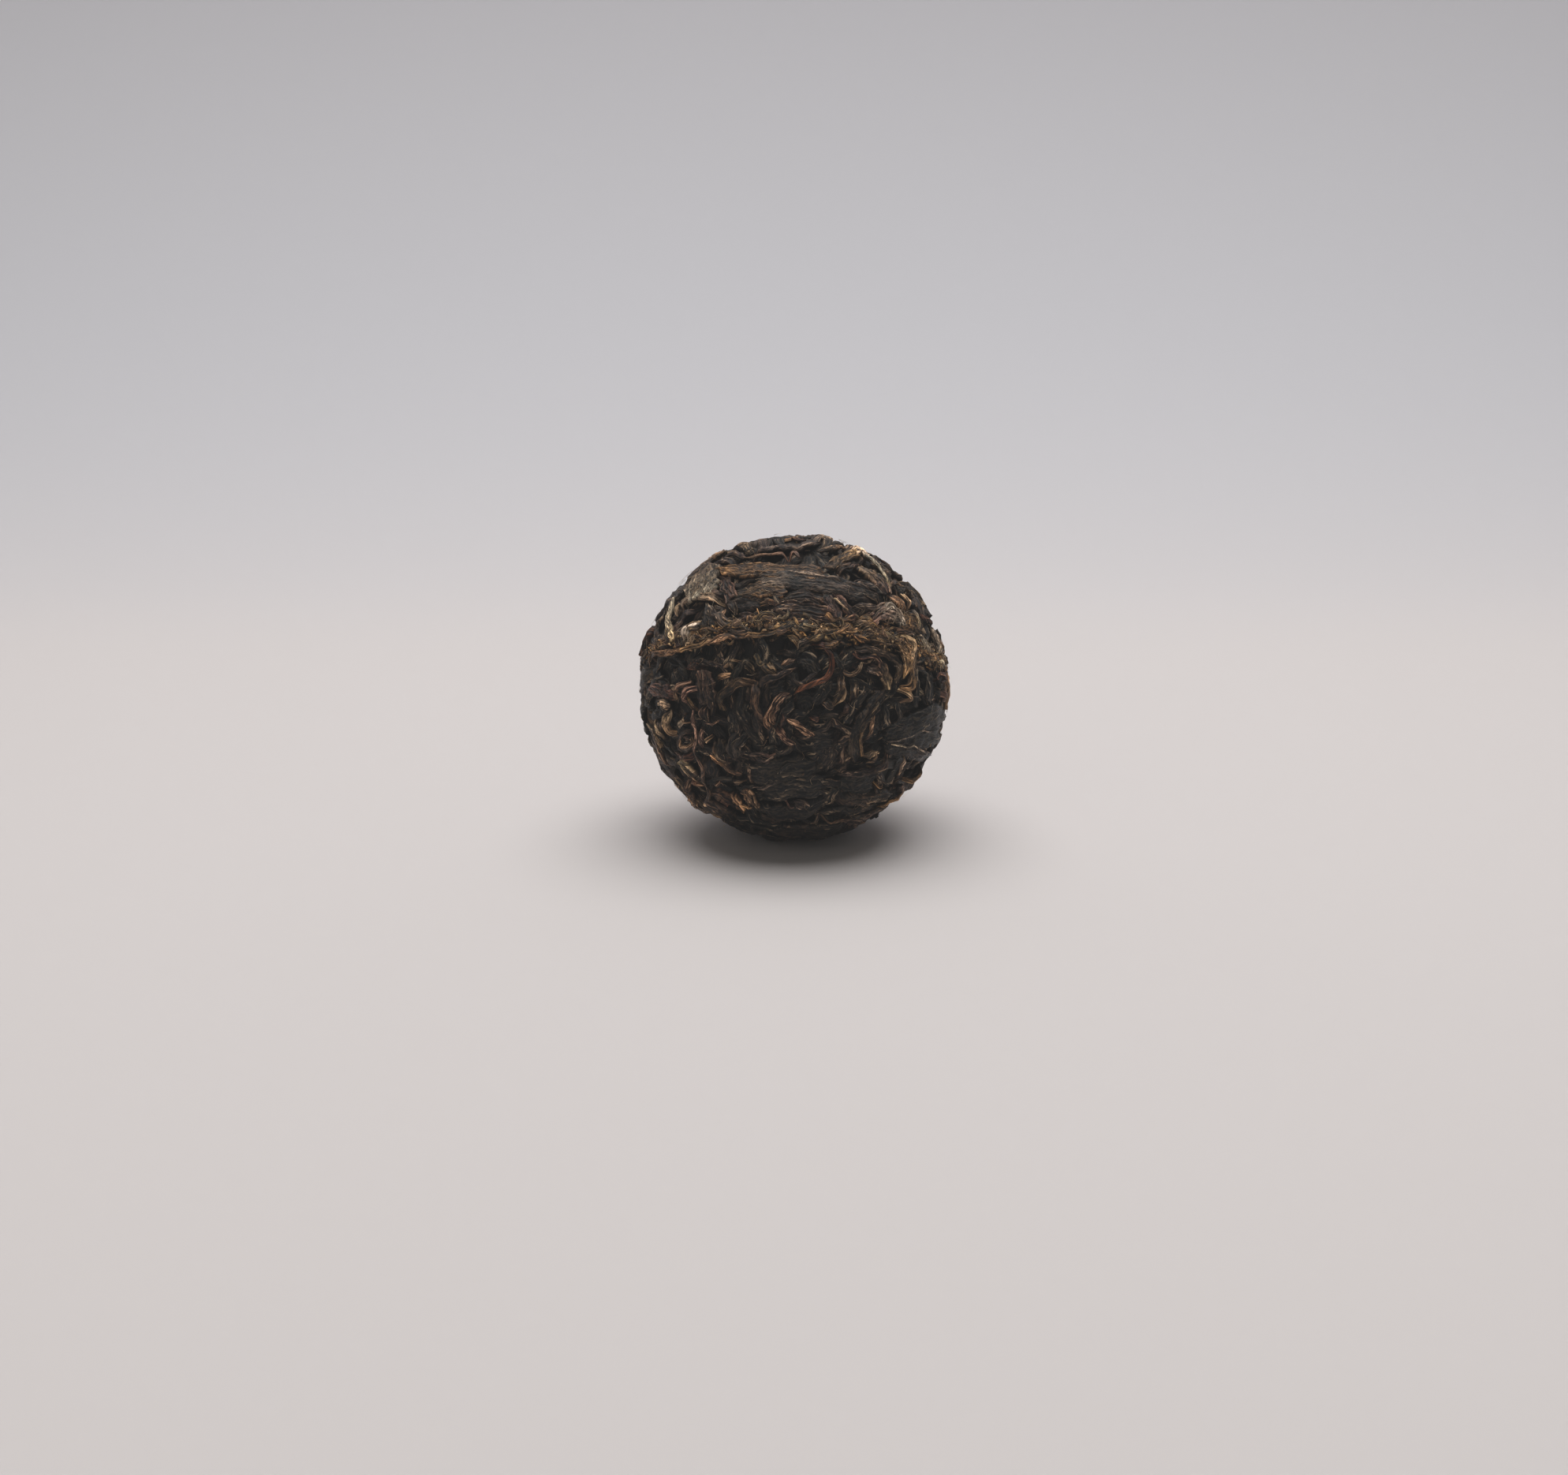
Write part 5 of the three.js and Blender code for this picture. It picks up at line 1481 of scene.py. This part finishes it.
class Workshop:
    """What every layer of leaf is laid with: the mould, the blanks and the crumples."""

    thin_under_mm = 0.36
    tone_bend = 1.2
    tone_shift = 0.16
    hue_shift = 0.04

    def __init__(self, mould: Mould) -> None:
        """Models the blanks that the leaves are copied from.

        Args:
            mould: The mould.
        """
        self.mould = mould
        self.laying = Laying(mould, seed=11)
        self.rng = np.random.default_rng(5)
        fine = (((0, 4, 7, 11, 15), 0.3), ((1, 6, 13, 17), 0.36), ((0, 3, 9, 12, 18), 0.26),
                ((2, 8, 14), 0.4))
        medium = ((0, 3, 7, 9), (1, 6), (2, 5, 10), (0, 4, 8), (1, 3, 8, 10), (0, 5, 7), (2, 7, 9))
        self.rolls = {
            Grade.FINE: [RolledBlank(valleys=v, valley_depth=d).make() for v, d in fine],
            Grade.MEDIUM: [RolledBlank(sides=12, rings=20, valleys=v).make() for v in medium],
            Grade.COARSE: [RolledBlank(sides=6, rings=8, valleys=(0, 3)).make()],
        }
        self.thin_roll = RolledBlank(sides=10, rings=28, valleys=(0, 4, 7)).make()
        self.sheets = {
            Grade.FINE: [SheetBlank(seed=seed, pleats=pleats, pleat_deep=deep).make()
                         for seed, pleats, deep in ((3, 6, 0.12), (8, 9, 0.1), (21, 4, 0.14))],
            Grade.MEDIUM: [SheetBlank(columns=16, rows=28, seed=seed, pleats=pleats).make()
                           for seed, pleats in ((5, 5), (9, 3))],
        }
        self.hollows = [self.gap_line(*row) for row in FRONT_HOLLOWS]

    def gap_line(self, u0: float, v0: float, u1: float, v1: float,
                 wide: float) -> tuple[np.ndarray, float]:
        """Turns a deep gap into directions along it and half its width, in millimetres."""
        share = np.linspace(0, 1, 5)
        return self.mould.front.spot(u0 + (u1 - u0) * share, v0 + (v1 - v0) * share), wide / 2

    def in_hollow(self, leaf: Leaf, margin: float = 0.3) -> bool:
        """Says whether a leaf would fill one of the deep gaps.

        Args:
            leaf: The leaf.
            margin: How much of its own width counts, as a share.

        Returns:
            True where it crosses a gap.
        """
        here = leaf.on.spot(*leaf.route(np.linspace(0.1, 0.9, 7)))
        for line, half in self.hollows:
            gap = np.linalg.norm(here[:, None] - line[None], axis=2).min() * self.mould.radius
            if gap < half + margin * leaf.wide:
                return True
        return False

    def tones(self, leaf: Leaf, along: np.ndarray) -> np.ndarray:
        """Mixes a leaf's tones along its run, with its own small shift.

        Args:
            leaf: The leaf.
            along: Shares of the run.

        Returns:
            One linear colour for each share.
        """
        foot, tip = (np.array(linear(tone.value)) for tone in (leaf.tone, leaf.tip))
        share = np.clip(along, 0, 1)[:, None] ** self.tone_bend
        own = 1 + self.rng.uniform(-self.tone_shift, self.tone_shift)
        hue = 1 + self.rng.uniform(-self.hue_shift, self.hue_shift, 3)
        return (foot * (1 - share) + tip * share) * own * hue

    def add(self, piece: JoinedPiece, leaf: Leaf, grade: Grade = Grade.FINE) -> None:
        """Lays one leaf and adds it to a piece.

        Args:
            piece: The piece that it joins.
            leaf: The leaf.
            grade: How finely it is modelled.
        """
        choices = (self.sheets if leaf.kind is Kind.BROAD else self.rolls)[grade]
        blank = choices[self.rng.integers(len(choices))]
        if leaf.kind is Kind.BROAD:
            laid = self.laying.sheet(leaf, blank)
        else:
            blank = self.thin_roll if grade is Grade.FINE and leaf.wide < self.thin_under_mm else blank
            laid = self.laying.rolled(leaf, blank)
        piece.add(blank, laid, self.tones(leaf, laid.along))


@dataclass
class Heart:
    """The heart of the ball, which shows only as the dark floor of its deepest gaps: near black, in painted
    shade.
    """

    workshop: Workshop
    below_surface: float = 1.35
    rounds: int = 5
    uneven: float = 0.16
    lumps: tuple[float, float] = (1.3, 1.1)

    def build(self) -> bpy.types.Object:
        """Models the heart, with its surface pushed uneven.

        Returns:
            The object.
        """
        mould = self.workshop.mould
        Blank.clear_selection()
        radius = mould.radius - self.below_surface
        bpy.ops.mesh.primitive_ico_sphere_add(subdivisions=self.rounds, radius=radius)
        heart = bpy.context.object
        heart.name = "packed_heart"
        mesh = heart.data
        xyz = np.empty(len(mesh.vertices) * 3)
        mesh.vertices.foreach_get("co", xyz)
        xyz = xyz.reshape(-1, 3)
        push = crumple(xyz[:, :2] / self.lumps[0], 3) + crumple(xyz[:, 1:] / self.lumps[1], 4)
        push *= self.uneven
        xyz = (xyz * (1 + push / mould.radius)[:, None] + mould.middle) * MM
        mesh.vertices.foreach_set("co", xyz.ravel())
        bpy.ops.object.shade_smooth()
        mesh.materials.append(ShadedHeart().build())
        hand_over(heart)
        LOG.info("%s: %d faces", heart.name, len(mesh.polygons))
        return heart


@dataclass
class UnderLeaves:
    """The leaves that fill the ball below those that show whole: the front's keep out of its gaps."""

    workshop: Workshop
    finish: bpy.types.Material
    # dark tones, partly the leaves' own and partly painted shade of the gaps between the leaves that show
    shaded_tones: tuple[Tone, ...] = (Tone.BLACK, Tone.BLACK, Tone.BROWN, Tone.GREEN, Tone.SLATE)
    deepest: LeafRule = LeafRule(places=640, seed=47, broad_share=0.0, strand_long=(3.0, 6.5),
                                 strand_wide=(0.8, 1.5), deep=(0.6, 1.1), front_limit=2.0, jitter=0.1,
                                 stray=40, clumps=20)
    front: LeafRule = LeafRule(places=560, seed=63, broad_share=0.0, strand_long=(1.8, 4.4),
                               strand_wide=(0.4, 1.0), deep=(0.2, 0.65), front_from=0.2,
                               front_limit=2.0, jitter=0.14, stray=50, clumps=30)

    def build(self) -> list[bpy.types.Object]:
        """Lays and makes both layers.

        Returns:
            The objects.
        """
        pieces = []
        for name, rule, grade, keeps_out in (("under_leaves", self.deepest, Grade.COARSE, False),
                                             ("front_filling_leaves", self.front, Grade.MEDIUM, True)):
            piece = JoinedPiece(name)
            for leaf in rule.leaves(self.workshop.mould, self.shaded_tones):
                if not (keeps_out and self.workshop.in_hollow(leaf)):
                    self.workshop.add(piece, leaf, grade)
            pieces.append(piece.build(self.finish))
        return pieces


@dataclass
class LeafCoat:
    """The leaves that show whole: the front face's own, and a rule's for the other sides."""

    workshop: Workshop
    finish: bpy.types.Material
    tones: tuple[Tone, ...] = (Tone.BLACK, Tone.SLATE, Tone.BROWN, Tone.BROWN, Tone.OLIVE, Tone.OLIVE,
                               Tone.PLUM, Tone.GREY, Tone.TAN, Tone.COCOA, Tone.GREEN, Tone.MOSS)
    whorl_turn: float = 290.0
    whorl_step: float = 130.0
    whorl_winds_in: float = 0.15
    whorl_fill: float = 0.9
    whorl_lap: float = 1.25
    whorl_deep: tuple[float, float] = (0.05, 0.08)
    ruled: LeafRule = LeafRule(places=84, seed=20459)
    filling: LeafRule = LeafRule(places=330, seed=31, broad_share=0.1, strand_long=(2.6, 6.0),
                                 strand_wide=(0.4, 1.0), broad_long=(3, 5), broad_wide=(1.2, 2.0),
                                 deep=(0.05, 0.5), front_limit=0.3, jitter=0.12, stray=40, clumps=24)

    def front_leaves(self) -> Iterator[Leaf]:
        """Lays out the leaves of the front face.

        Yields:
            Each leaf.
        """
        front = self.workshop.mould.front
        for row in FRONT_BROAD:
            yield Leaf(front, *row, kind=Kind.BROAD)
        for row in FRONT_ROLLED:
            yield Leaf(front, *row)
        for u, v, radius, first, tones in FRONT_WHORLS:
            rings = len(tones)
            for ring, tone in enumerate(tones):
                reach = radius * (1 - ring / rings) * self.whorl_fill
                path = arc(u, v, reach, first + self.whorl_step * ring, self.whorl_turn, self.whorl_winds_in)
                wide = radius / rings * self.whorl_lap
                deep = self.whorl_deep[0] + self.whorl_deep[1] * ring
                yield Leaf(front, path, wide, deep, tone, tones[-1 - ring])

    def build(self) -> list[bpy.types.Object]:
        """Lays and makes the cap's and the bowl's leaves.

        Returns:
            The objects.
        """
        mould = self.workshop.mould
        pieces = {(kind, above): JoinedPiece(f"{'cap' if above else 'bowl'}_{kind.value}_leaves")
                  for kind in Kind for above in (True, False)}
        filling = JoinedPiece("filling_leaves")
        for leaf in self.filling.leaves(mould, self.tones):
            self.workshop.add(filling, leaf, Grade.MEDIUM)
        graded = [(leaf, Grade.MEDIUM) for leaf in self.ruled.leaves(mould, self.tones)]
        graded += [(leaf, Grade.FINE) for leaf in self.front_leaves()]
        for leaf, grade in graded:
            at = leaf.on.spot(*leaf.route(np.array([0.5])))
            self.workshop.add(pieces[leaf.kind, bool(mould.above_seam(at)[0] > 0)], leaf, grade)
        return [piece.build(self.finish) for piece in (*pieces.values(), filling)]


@dataclass
class Stalks:
    """The thin red-brown stalks that were rolled in with the leaves."""

    workshop: Workshop
    groove: float = 0.12
    kinked: float = 0.15

    def build(self) -> bpy.types.Object:
        """Lays and makes the stalks.

        Returns:
            The object.
        """
        piece = JoinedPiece("tea_stalks")
        for row in FRONT_STALKS:
            leaf = Leaf(self.workshop.mould.front, *row)
            blank = self.workshop.rolls[Grade.FINE][1]
            laid = self.workshop.laying.rolled(leaf, blank, self.groove, self.kinked)
            piece.add(blank, laid, self.workshop.tones(leaf, laid.along))
        # the stalk's crests take a painted highlight, partly real rubbing, as the leaves' do
        finish = CuredLeaf("tea stalk, sun-cured", fibre_mm=0.12, crinkle_run_mm=0.8, worn_and_highlight="#a0603c",
                           lit=1.9, rough=(0.35, 0.5))
        return piece.build(finish.build())


@dataclass
class SeamRidge:
    """The crumbly ridge of broken leaf that the mould's two halves squeezed out between them."""

    workshop: Workshop
    finish: bpy.types.Material
    crumbs: int = 2080
    shreds: int = 620
    rolls: int = 110
    crumb_size: tuple[float, float] = (0.06, 0.2)
    shred_long: tuple[float, float] = (0.6, 2.2)
    shred_wide: tuple[float, float] = (0.12, 0.34)
    roll_long: tuple[float, float] = (1.0, 2.6)
    roll_wide: tuple[float, float] = (0.35, 0.7)
    crumb_long: tuple[float, float] = (1, 2.4)
    crumb_flat: float = 0.7
    crumb_light: tuple[float, float] = (0.5, 1.25)
    crumb_kinds: int = 5
    crumb_sunk: float = 0.04
    crumb_heaped: float = 0.14
    crumb_slope: float = 0.35
    crumb_gather: float = 0.9
    roll_stray: float = 0.3
    shred_stray: float = 0.6
    strand_bow: float = 0.25
    strand_deep: tuple[float, float] = (-0.05, 0.3)
    spread: float = 0.38
    wander: float = 0.18
    seed: int = 19
    tones: tuple[Tone, ...] = (Tone.GOLD, Tone.TAN, Tone.MOSS, Tone.BROWN, Tone.OLIVE, Tone.TAN,
                               Tone.GOLD, Tone.GREEN, Tone.COCOA, Tone.STRAW, Tone.BROWN)

    def line(self, turn: float) -> float:
        """Says how far the ridge strays above the seam's plane at a turn round it."""
        return self.wander * (math.sin(3 * turn + 0.4) + 0.6 * math.sin(7 * turn + 2.1)
                              + 0.4 * math.sin(17 * turn))

    def bulk(self, turn: float) -> float:
        """Says how thick the ridge is at a turn round it, as a share of its usual thickness."""
        return 0.95 + 0.5 * math.cos(turn + 0.8) + 0.2 * math.sin(5 * turn + 0.3)

    def out(self, turn: float, above: float) -> np.ndarray:
        """Finds a direction on the ball.

        Args:
            turn: Its turn round the seam, in radians.
            above: Its height above the seam, in millimetres.

        Returns:
            A unit vector.
        """
        mould = self.workshop.mould
        normal = mould.seam_normal
        first = unit(np.cross([0.0, 1.0, 0.0], normal))
        second = np.cross(normal, first)
        rise = (mould.seam_above_middle + above) / mould.radius
        flat = math.sqrt(1 - rise * rise)
        return normal * rise + flat * (first * math.cos(turn) + second * math.sin(turn))

    def crumb_piece(self) -> JoinedPiece:
        """Heaps the crumbs.

        Returns:
            The piece, not yet made.
        """
        rng = np.random.default_rng(self.seed)
        mould = self.workshop.mould
        blanks = [CrumbBlank(seed=k).make() for k in range(self.crumb_kinds)]
        piece = JoinedPiece("seam_crumbs")
        for _ in range(self.crumbs):
            turn = rng.uniform(0, 2 * math.pi)
            off = rng.normal(0, self.spread * self.bulk(turn) * self.crumb_gather)
            out = self.out(turn, self.line(turn) + off)
            sink = self.crumb_sunk + rng.exponential(self.crumb_heaped) + self.crumb_slope * abs(off)
            blank = blanks[rng.integers(len(blanks))]
            sizes = rng.uniform(*self.crumb_size, 3)
            sizes *= (1, rng.uniform(*self.crumb_long), self.crumb_flat)
            turns = np.linalg.qr(rng.normal(size=(3, 3)))[0]
            turns *= np.sign(np.linalg.det(turns))
            lump = (np.column_stack([blank.across, blank.along, blank.high]) * sizes) @ turns
            centre = out * (mould.radius - sink - sizes.max() * 0.5) + mould.middle
            tone = np.array(linear(self.tones[rng.integers(len(self.tones))].value))
            tone *= rng.uniform(*self.crumb_light)
            uv = lump[:, :2] + rng.uniform(0, self.workshop.laying.pattern_reach, 2)
            # painted shading: each crumb is paler on its side facing out of the ball, as rubbed and as a
            # painted highlight, and darker on its inner side, as painted shade
            wear_and_shading = np.clip(0.5 + 1.6 * lump @ out, 0, 1)
            laid = Laid((lump + centre) * MM, uv, wear_and_shading, blank.along)
            piece.add(blank, laid, np.tile(tone, (len(lump), 1)))
        return piece

    def strands(self, count: int, long: tuple[float, float], wide: tuple[float, float], stray: float,
                seed: int) -> Iterator[Leaf]:
        """Lays out torn strands along the ridge.

        Args:
            count: How many.
            long: The limits of their length, in millimetres.
            wide: The limits of their width.
            stray: How far they stray from the ridge's own heading, in radians.
            seed: Any whole number.

        Yields:
            Each strand.
        """
        rng = np.random.default_rng(seed)
        mould = self.workshop.mould
        for _ in range(count):
            turn = rng.uniform(0, 2 * math.pi)
            bulk = self.bulk(turn)
            face = Face(self.out(turn, self.line(turn) + rng.normal(0, self.spread * bulk)), mould)
            tangent = np.cross(mould.seam_normal, face.out)
            heading = math.atan2(tangent @ face.up, tangent @ face.right) + rng.normal(0, stray)
            reach = rng.uniform(*long)
            u, v = math.cos(heading) * reach / 2, math.sin(heading) * reach / 2
            path = bowed(-u, -v, u, v, rng.uniform(-self.strand_bow, self.strand_bow) * reach)
            foot, tip = (self.tones[rng.integers(len(self.tones))] for _ in range(2))
            thick = rng.uniform(*wide) * (0.6 + 0.4 * bulk)
            yield Leaf(face, path, thick, rng.uniform(*self.strand_deep), foot, tip)

    def build(self) -> list[bpy.types.Object]:
        """Lays and makes the ridge.

        Returns:
            The objects.
        """
        rolls, shreds = JoinedPiece("seam_rolls"), JoinedPiece("seam_shreds")
        for leaf in self.strands(self.rolls, self.roll_long, self.roll_wide, self.roll_stray,
                                 self.seed + 2):
            self.workshop.add(rolls, leaf, Grade.MEDIUM)
        for leaf in self.strands(self.shreds, self.shred_long, self.shred_wide, self.shred_stray,
                                 self.seed + 1):
            self.workshop.add(shreds, leaf, Grade.COARSE)
        return [piece.build(self.finish) for piece in (self.crumb_piece(), rolls, shreds)]


@dataclass
class LeafDown:
    """The fine pale hairs of young leaves, and the fibres that stick out of the ridge."""

    workshop: Workshop
    seam: SeamRidge
    wide: tuple[float, float] = (0.02, 0.045)
    long: tuple[float, float] = (0.35, 1.0)
    all_over: int = 260
    ridge: int = 170
    tuft_stand: float = 0.05
    all_over_stand: float = 0.08
    ridge_stand: float = 0.22
    ridge_spread: float = 0.3
    stand_share: tuple[float, float] = (0.2, 1.2)
    heading_stray: float = 0.3
    bow: float = 0.14
    deep: float = 0.03
    tones: tuple[Tone, ...] = (Tone.STRAW, Tone.SILVER, Tone.TAN)
    seed: int = 83
    # on the front face: u, v, how far they scatter, how many, heading in degrees
    tufts: tuple[tuple[float, float, float, int, float], ...] = (
        (-7.2, 8.3, 0.6, 120, -75), (7.4, 5.8, 0.6, 70, 20), (-8.4, 4.3, 0.5, 30, -100),
        (10.6, 3.6, 0.5, 40, -80), (-2.6, 7.7, 0.7, 30, 10))

    def hairs(self) -> Iterator[tuple[Leaf, float]]:
        """Lays out the hairs.

        Yields:
            Each hair, and how far its tip stands off.
        """
        rng = np.random.default_rng(self.seed)
        mould = self.workshop.mould
        spots: list[tuple[Face, float, float]] = []
        for u, v, scatter, count, heading in self.tufts:
            at = mould.front.spot(u + rng.normal(0, scatter, count), v + rng.normal(0, scatter, count))
            for out in at:
                stray = rng.normal(0, self.heading_stray)
                spots.append((Face(out, mould), math.radians(heading) + stray, self.tuft_stand))
        for _ in range(self.all_over):
            out = unit(rng.normal(size=3))
            spots.append((Face(out, mould), rng.uniform(0, 2 * math.pi), self.all_over_stand))
        for _ in range(self.ridge):
            turn = rng.uniform(0, 2 * math.pi)
            out = self.seam.out(turn, self.seam.line(turn) + rng.normal(0, self.ridge_spread))
            spots.append((Face(out, mould), rng.uniform(0, 2 * math.pi), self.ridge_stand))
        for face, heading, stand in spots:
            reach = rng.uniform(*self.long)
            u, v = math.cos(heading) * reach, math.sin(heading) * reach
            path = bowed(0.0, 0.0, u, v, rng.normal(0, self.bow) * reach)
            wide = rng.uniform(*self.wide)
            leaf = Leaf(face, path, wide, self.deep, self.tones[rng.integers(len(self.tones))], Tone.SILVER)
            yield leaf, stand * rng.uniform(*self.stand_share)

    def build(self, finish: bpy.types.Material) -> bpy.types.Object:
        """Lays and makes the down.

        Args:
            finish: Its material.

        Returns:
            The object.
        """
        piece = JoinedPiece("leaf_down")
        blank = HairBlank().make()
        for leaf, stand in self.hairs():
            laid = self.workshop.laying.hair(leaf, blank, stand)
            piece.add(blank, laid, self.workshop.tones(leaf, laid.along))
        return piece.build(finish)


@dataclass(frozen=True)
class Lamp:
    """One soft round lamp: its place and width in metres, power in watts and sRGB colour."""

    name: str
    at: tuple[float, float, float]
    wide: float
    power: float
    colour: str


@dataclass
class Studio:
    """A plain pale floor that sweeps up behind the pearl, soft light, and the camera."""

    mould: Mould
    image_wide: int = 1988
    image_high: int = 1870
    focal_px: float = 2900.0
    sensor_mm: float = 36.0
    pearl_at_px: tuple[float, float] = (1007.0, 872.0)
    near_clip: float = 0.005
    black_lift: float = 0.013
    floor_wide: float = 1.2
    back_at: float = 0.18
    back_high: float = 0.5
    back_curve: float = 0.09
    curve_steps: int = 24
    room_colour: str = "#e6e3de"
    room_light: float = 0.15
    lamps: tuple[Lamp, ...] = (Lamp("key", (0.01, 0.05, 0.36), 0.48, 1.8, "#ffffff"),
                               Lamp("fill", (-0.20, -0.40, 0.25), 0.40, 0.12, "#fff6ee"))

    def sweep(self) -> bpy.types.Object:
        """Models the floor and its curved back.

        Returns:
            The stage object.
        """
        Blank.clear_selection()
        bpy.ops.mesh.primitive_plane_add(size=self.floor_wide)
        floor = bpy.context.object
        floor.name = "floor_sweep"
        bpy.ops.object.mode_set(mode="EDIT")
        Blank.select(floor, lambda v: v.co.y > 0)
        bpy.ops.transform.translate(value=(0, self.back_at - self.floor_wide / 2, 0))
        bpy.ops.mesh.extrude_region_move(TRANSFORM_OT_translate={"value": (0, 0, self.back_high)})
        bpy.ops.object.mode_set(mode="OBJECT")
        bevel = floor.modifiers.new("curve", "BEVEL")
        bevel.width = self.back_curve
        bevel.segments = self.curve_steps
        bpy.ops.object.modifier_apply(modifier=bevel.name)
        bpy.ops.object.shade_smooth()
        bpy.ops.object.transform_apply(location=True, rotation=True, scale=True)
        floor.data.materials.append(PaintedBoard().build())
        return floor

    def hang(self, lamp: Lamp) -> None:
        """Hangs one lamp, facing the pearl.

        Args:
            lamp: The lamp.
        """
        data = bpy.data.lights.new(lamp.name, "AREA")
        data.shape = "DISK"
        data.size = lamp.wide
        data.energy = lamp.power
        data.color = linear(lamp.colour)
        obj = bpy.data.objects.new(lamp.name, data)
        obj.location = lamp.at
        obj.rotation_euler = self.facing(self.mould.middle * MM - np.array(lamp.at))
        bpy.context.scene.collection.objects.link(obj)

    @staticmethod
    def facing(way: np.ndarray) -> tuple[float, float, float]:
        """Finds the Euler angles that point an object's -Z along a direction."""
        flat = math.hypot(way[0], way[1])
        return (math.atan2(flat, -way[2]), 0.0, math.atan2(-way[0], way[1]))

    def light(self) -> None:
        """Sets the even light of the room and hangs the lamps."""
        world = bpy.data.worlds.new("room")
        world.use_nodes = True
        back = world.node_tree.nodes["Background"]
        back.inputs["Color"].default_value = (*linear(self.room_colour), 1)
        back.inputs["Strength"].default_value = self.room_light
        bpy.context.scene.world = world
        for lamp in self.lamps:
            self.hang(lamp)

    def tone_view(self) -> None:
        """Shows the light as it is, with its blacks lifted a little, as by a bright surround."""
        view = bpy.context.scene.view_settings
        view.view_transform = "Standard"
        view.use_curve_mapping = True
        curve = view.curve_mapping.curves[3]
        curve.points[0].location = (0.0, self.black_lift)
        curve.points[1].location = (1.0, 1.0)
        view.curve_mapping.update()

    def camera(self) -> bpy.types.Object:
        """Sets the camera at the height, distance and framing that the pearl is seen with.

        Returns:
            The camera.
        """
        data = bpy.data.cameras.new("camera")
        data.sensor_width = self.sensor_mm
        data.lens = self.focal_px * self.sensor_mm / self.image_wide
        data.clip_start = self.near_clip
        camera = bpy.data.objects.new("camera", data)
        front = self.mould.front
        camera.location = (self.mould.middle + front.out * front.away) * MM
        right_of_middle = self.pearl_at_px[0] - self.image_wide / 2
        above_middle = self.image_high / 2 - self.pearl_at_px[1]
        pitch = math.radians(self.mould.eye_raised) + math.atan(above_middle / self.focal_px)
        yaw = math.atan(right_of_middle / self.focal_px)
        camera.rotation_euler = (math.pi / 2 - pitch, 0.0, yaw)
        bpy.context.scene.collection.objects.link(camera)
        bpy.context.scene.camera = camera
        return camera


def main() -> None:
    """Builds the pearl, then the room round it."""
    logging.basicConfig(level=logging.INFO, format="%(name)s: %(message)s")
    mould = Mould()
    studio = Studio(mould)
    studio.camera()
    workshop = Workshop(mould)
    leaf = CuredLeaf().build()
    # the crumbs' finish, whose crests take a painted highlight, partly real rubbing
    broken = CuredLeaf("tea leaf, broken crumbs", fibre_mm=0.12, crinkle_mm=0.09, mottle_mm=0.45,
                       worn_and_highlight="#b8975c").build()
    Heart(workshop).build()
    UnderLeaves(workshop, leaf).build()
    LeafCoat(workshop, leaf).build()
    Stalks(workshop).build()
    seam = SeamRidge(workshop, broken)
    seam.build()
    LeafDown(workshop, seam).build(leaf)
    studio.sweep()
    studio.light()
    studio.tone_view()


if __name__ == "__main__":
    main()
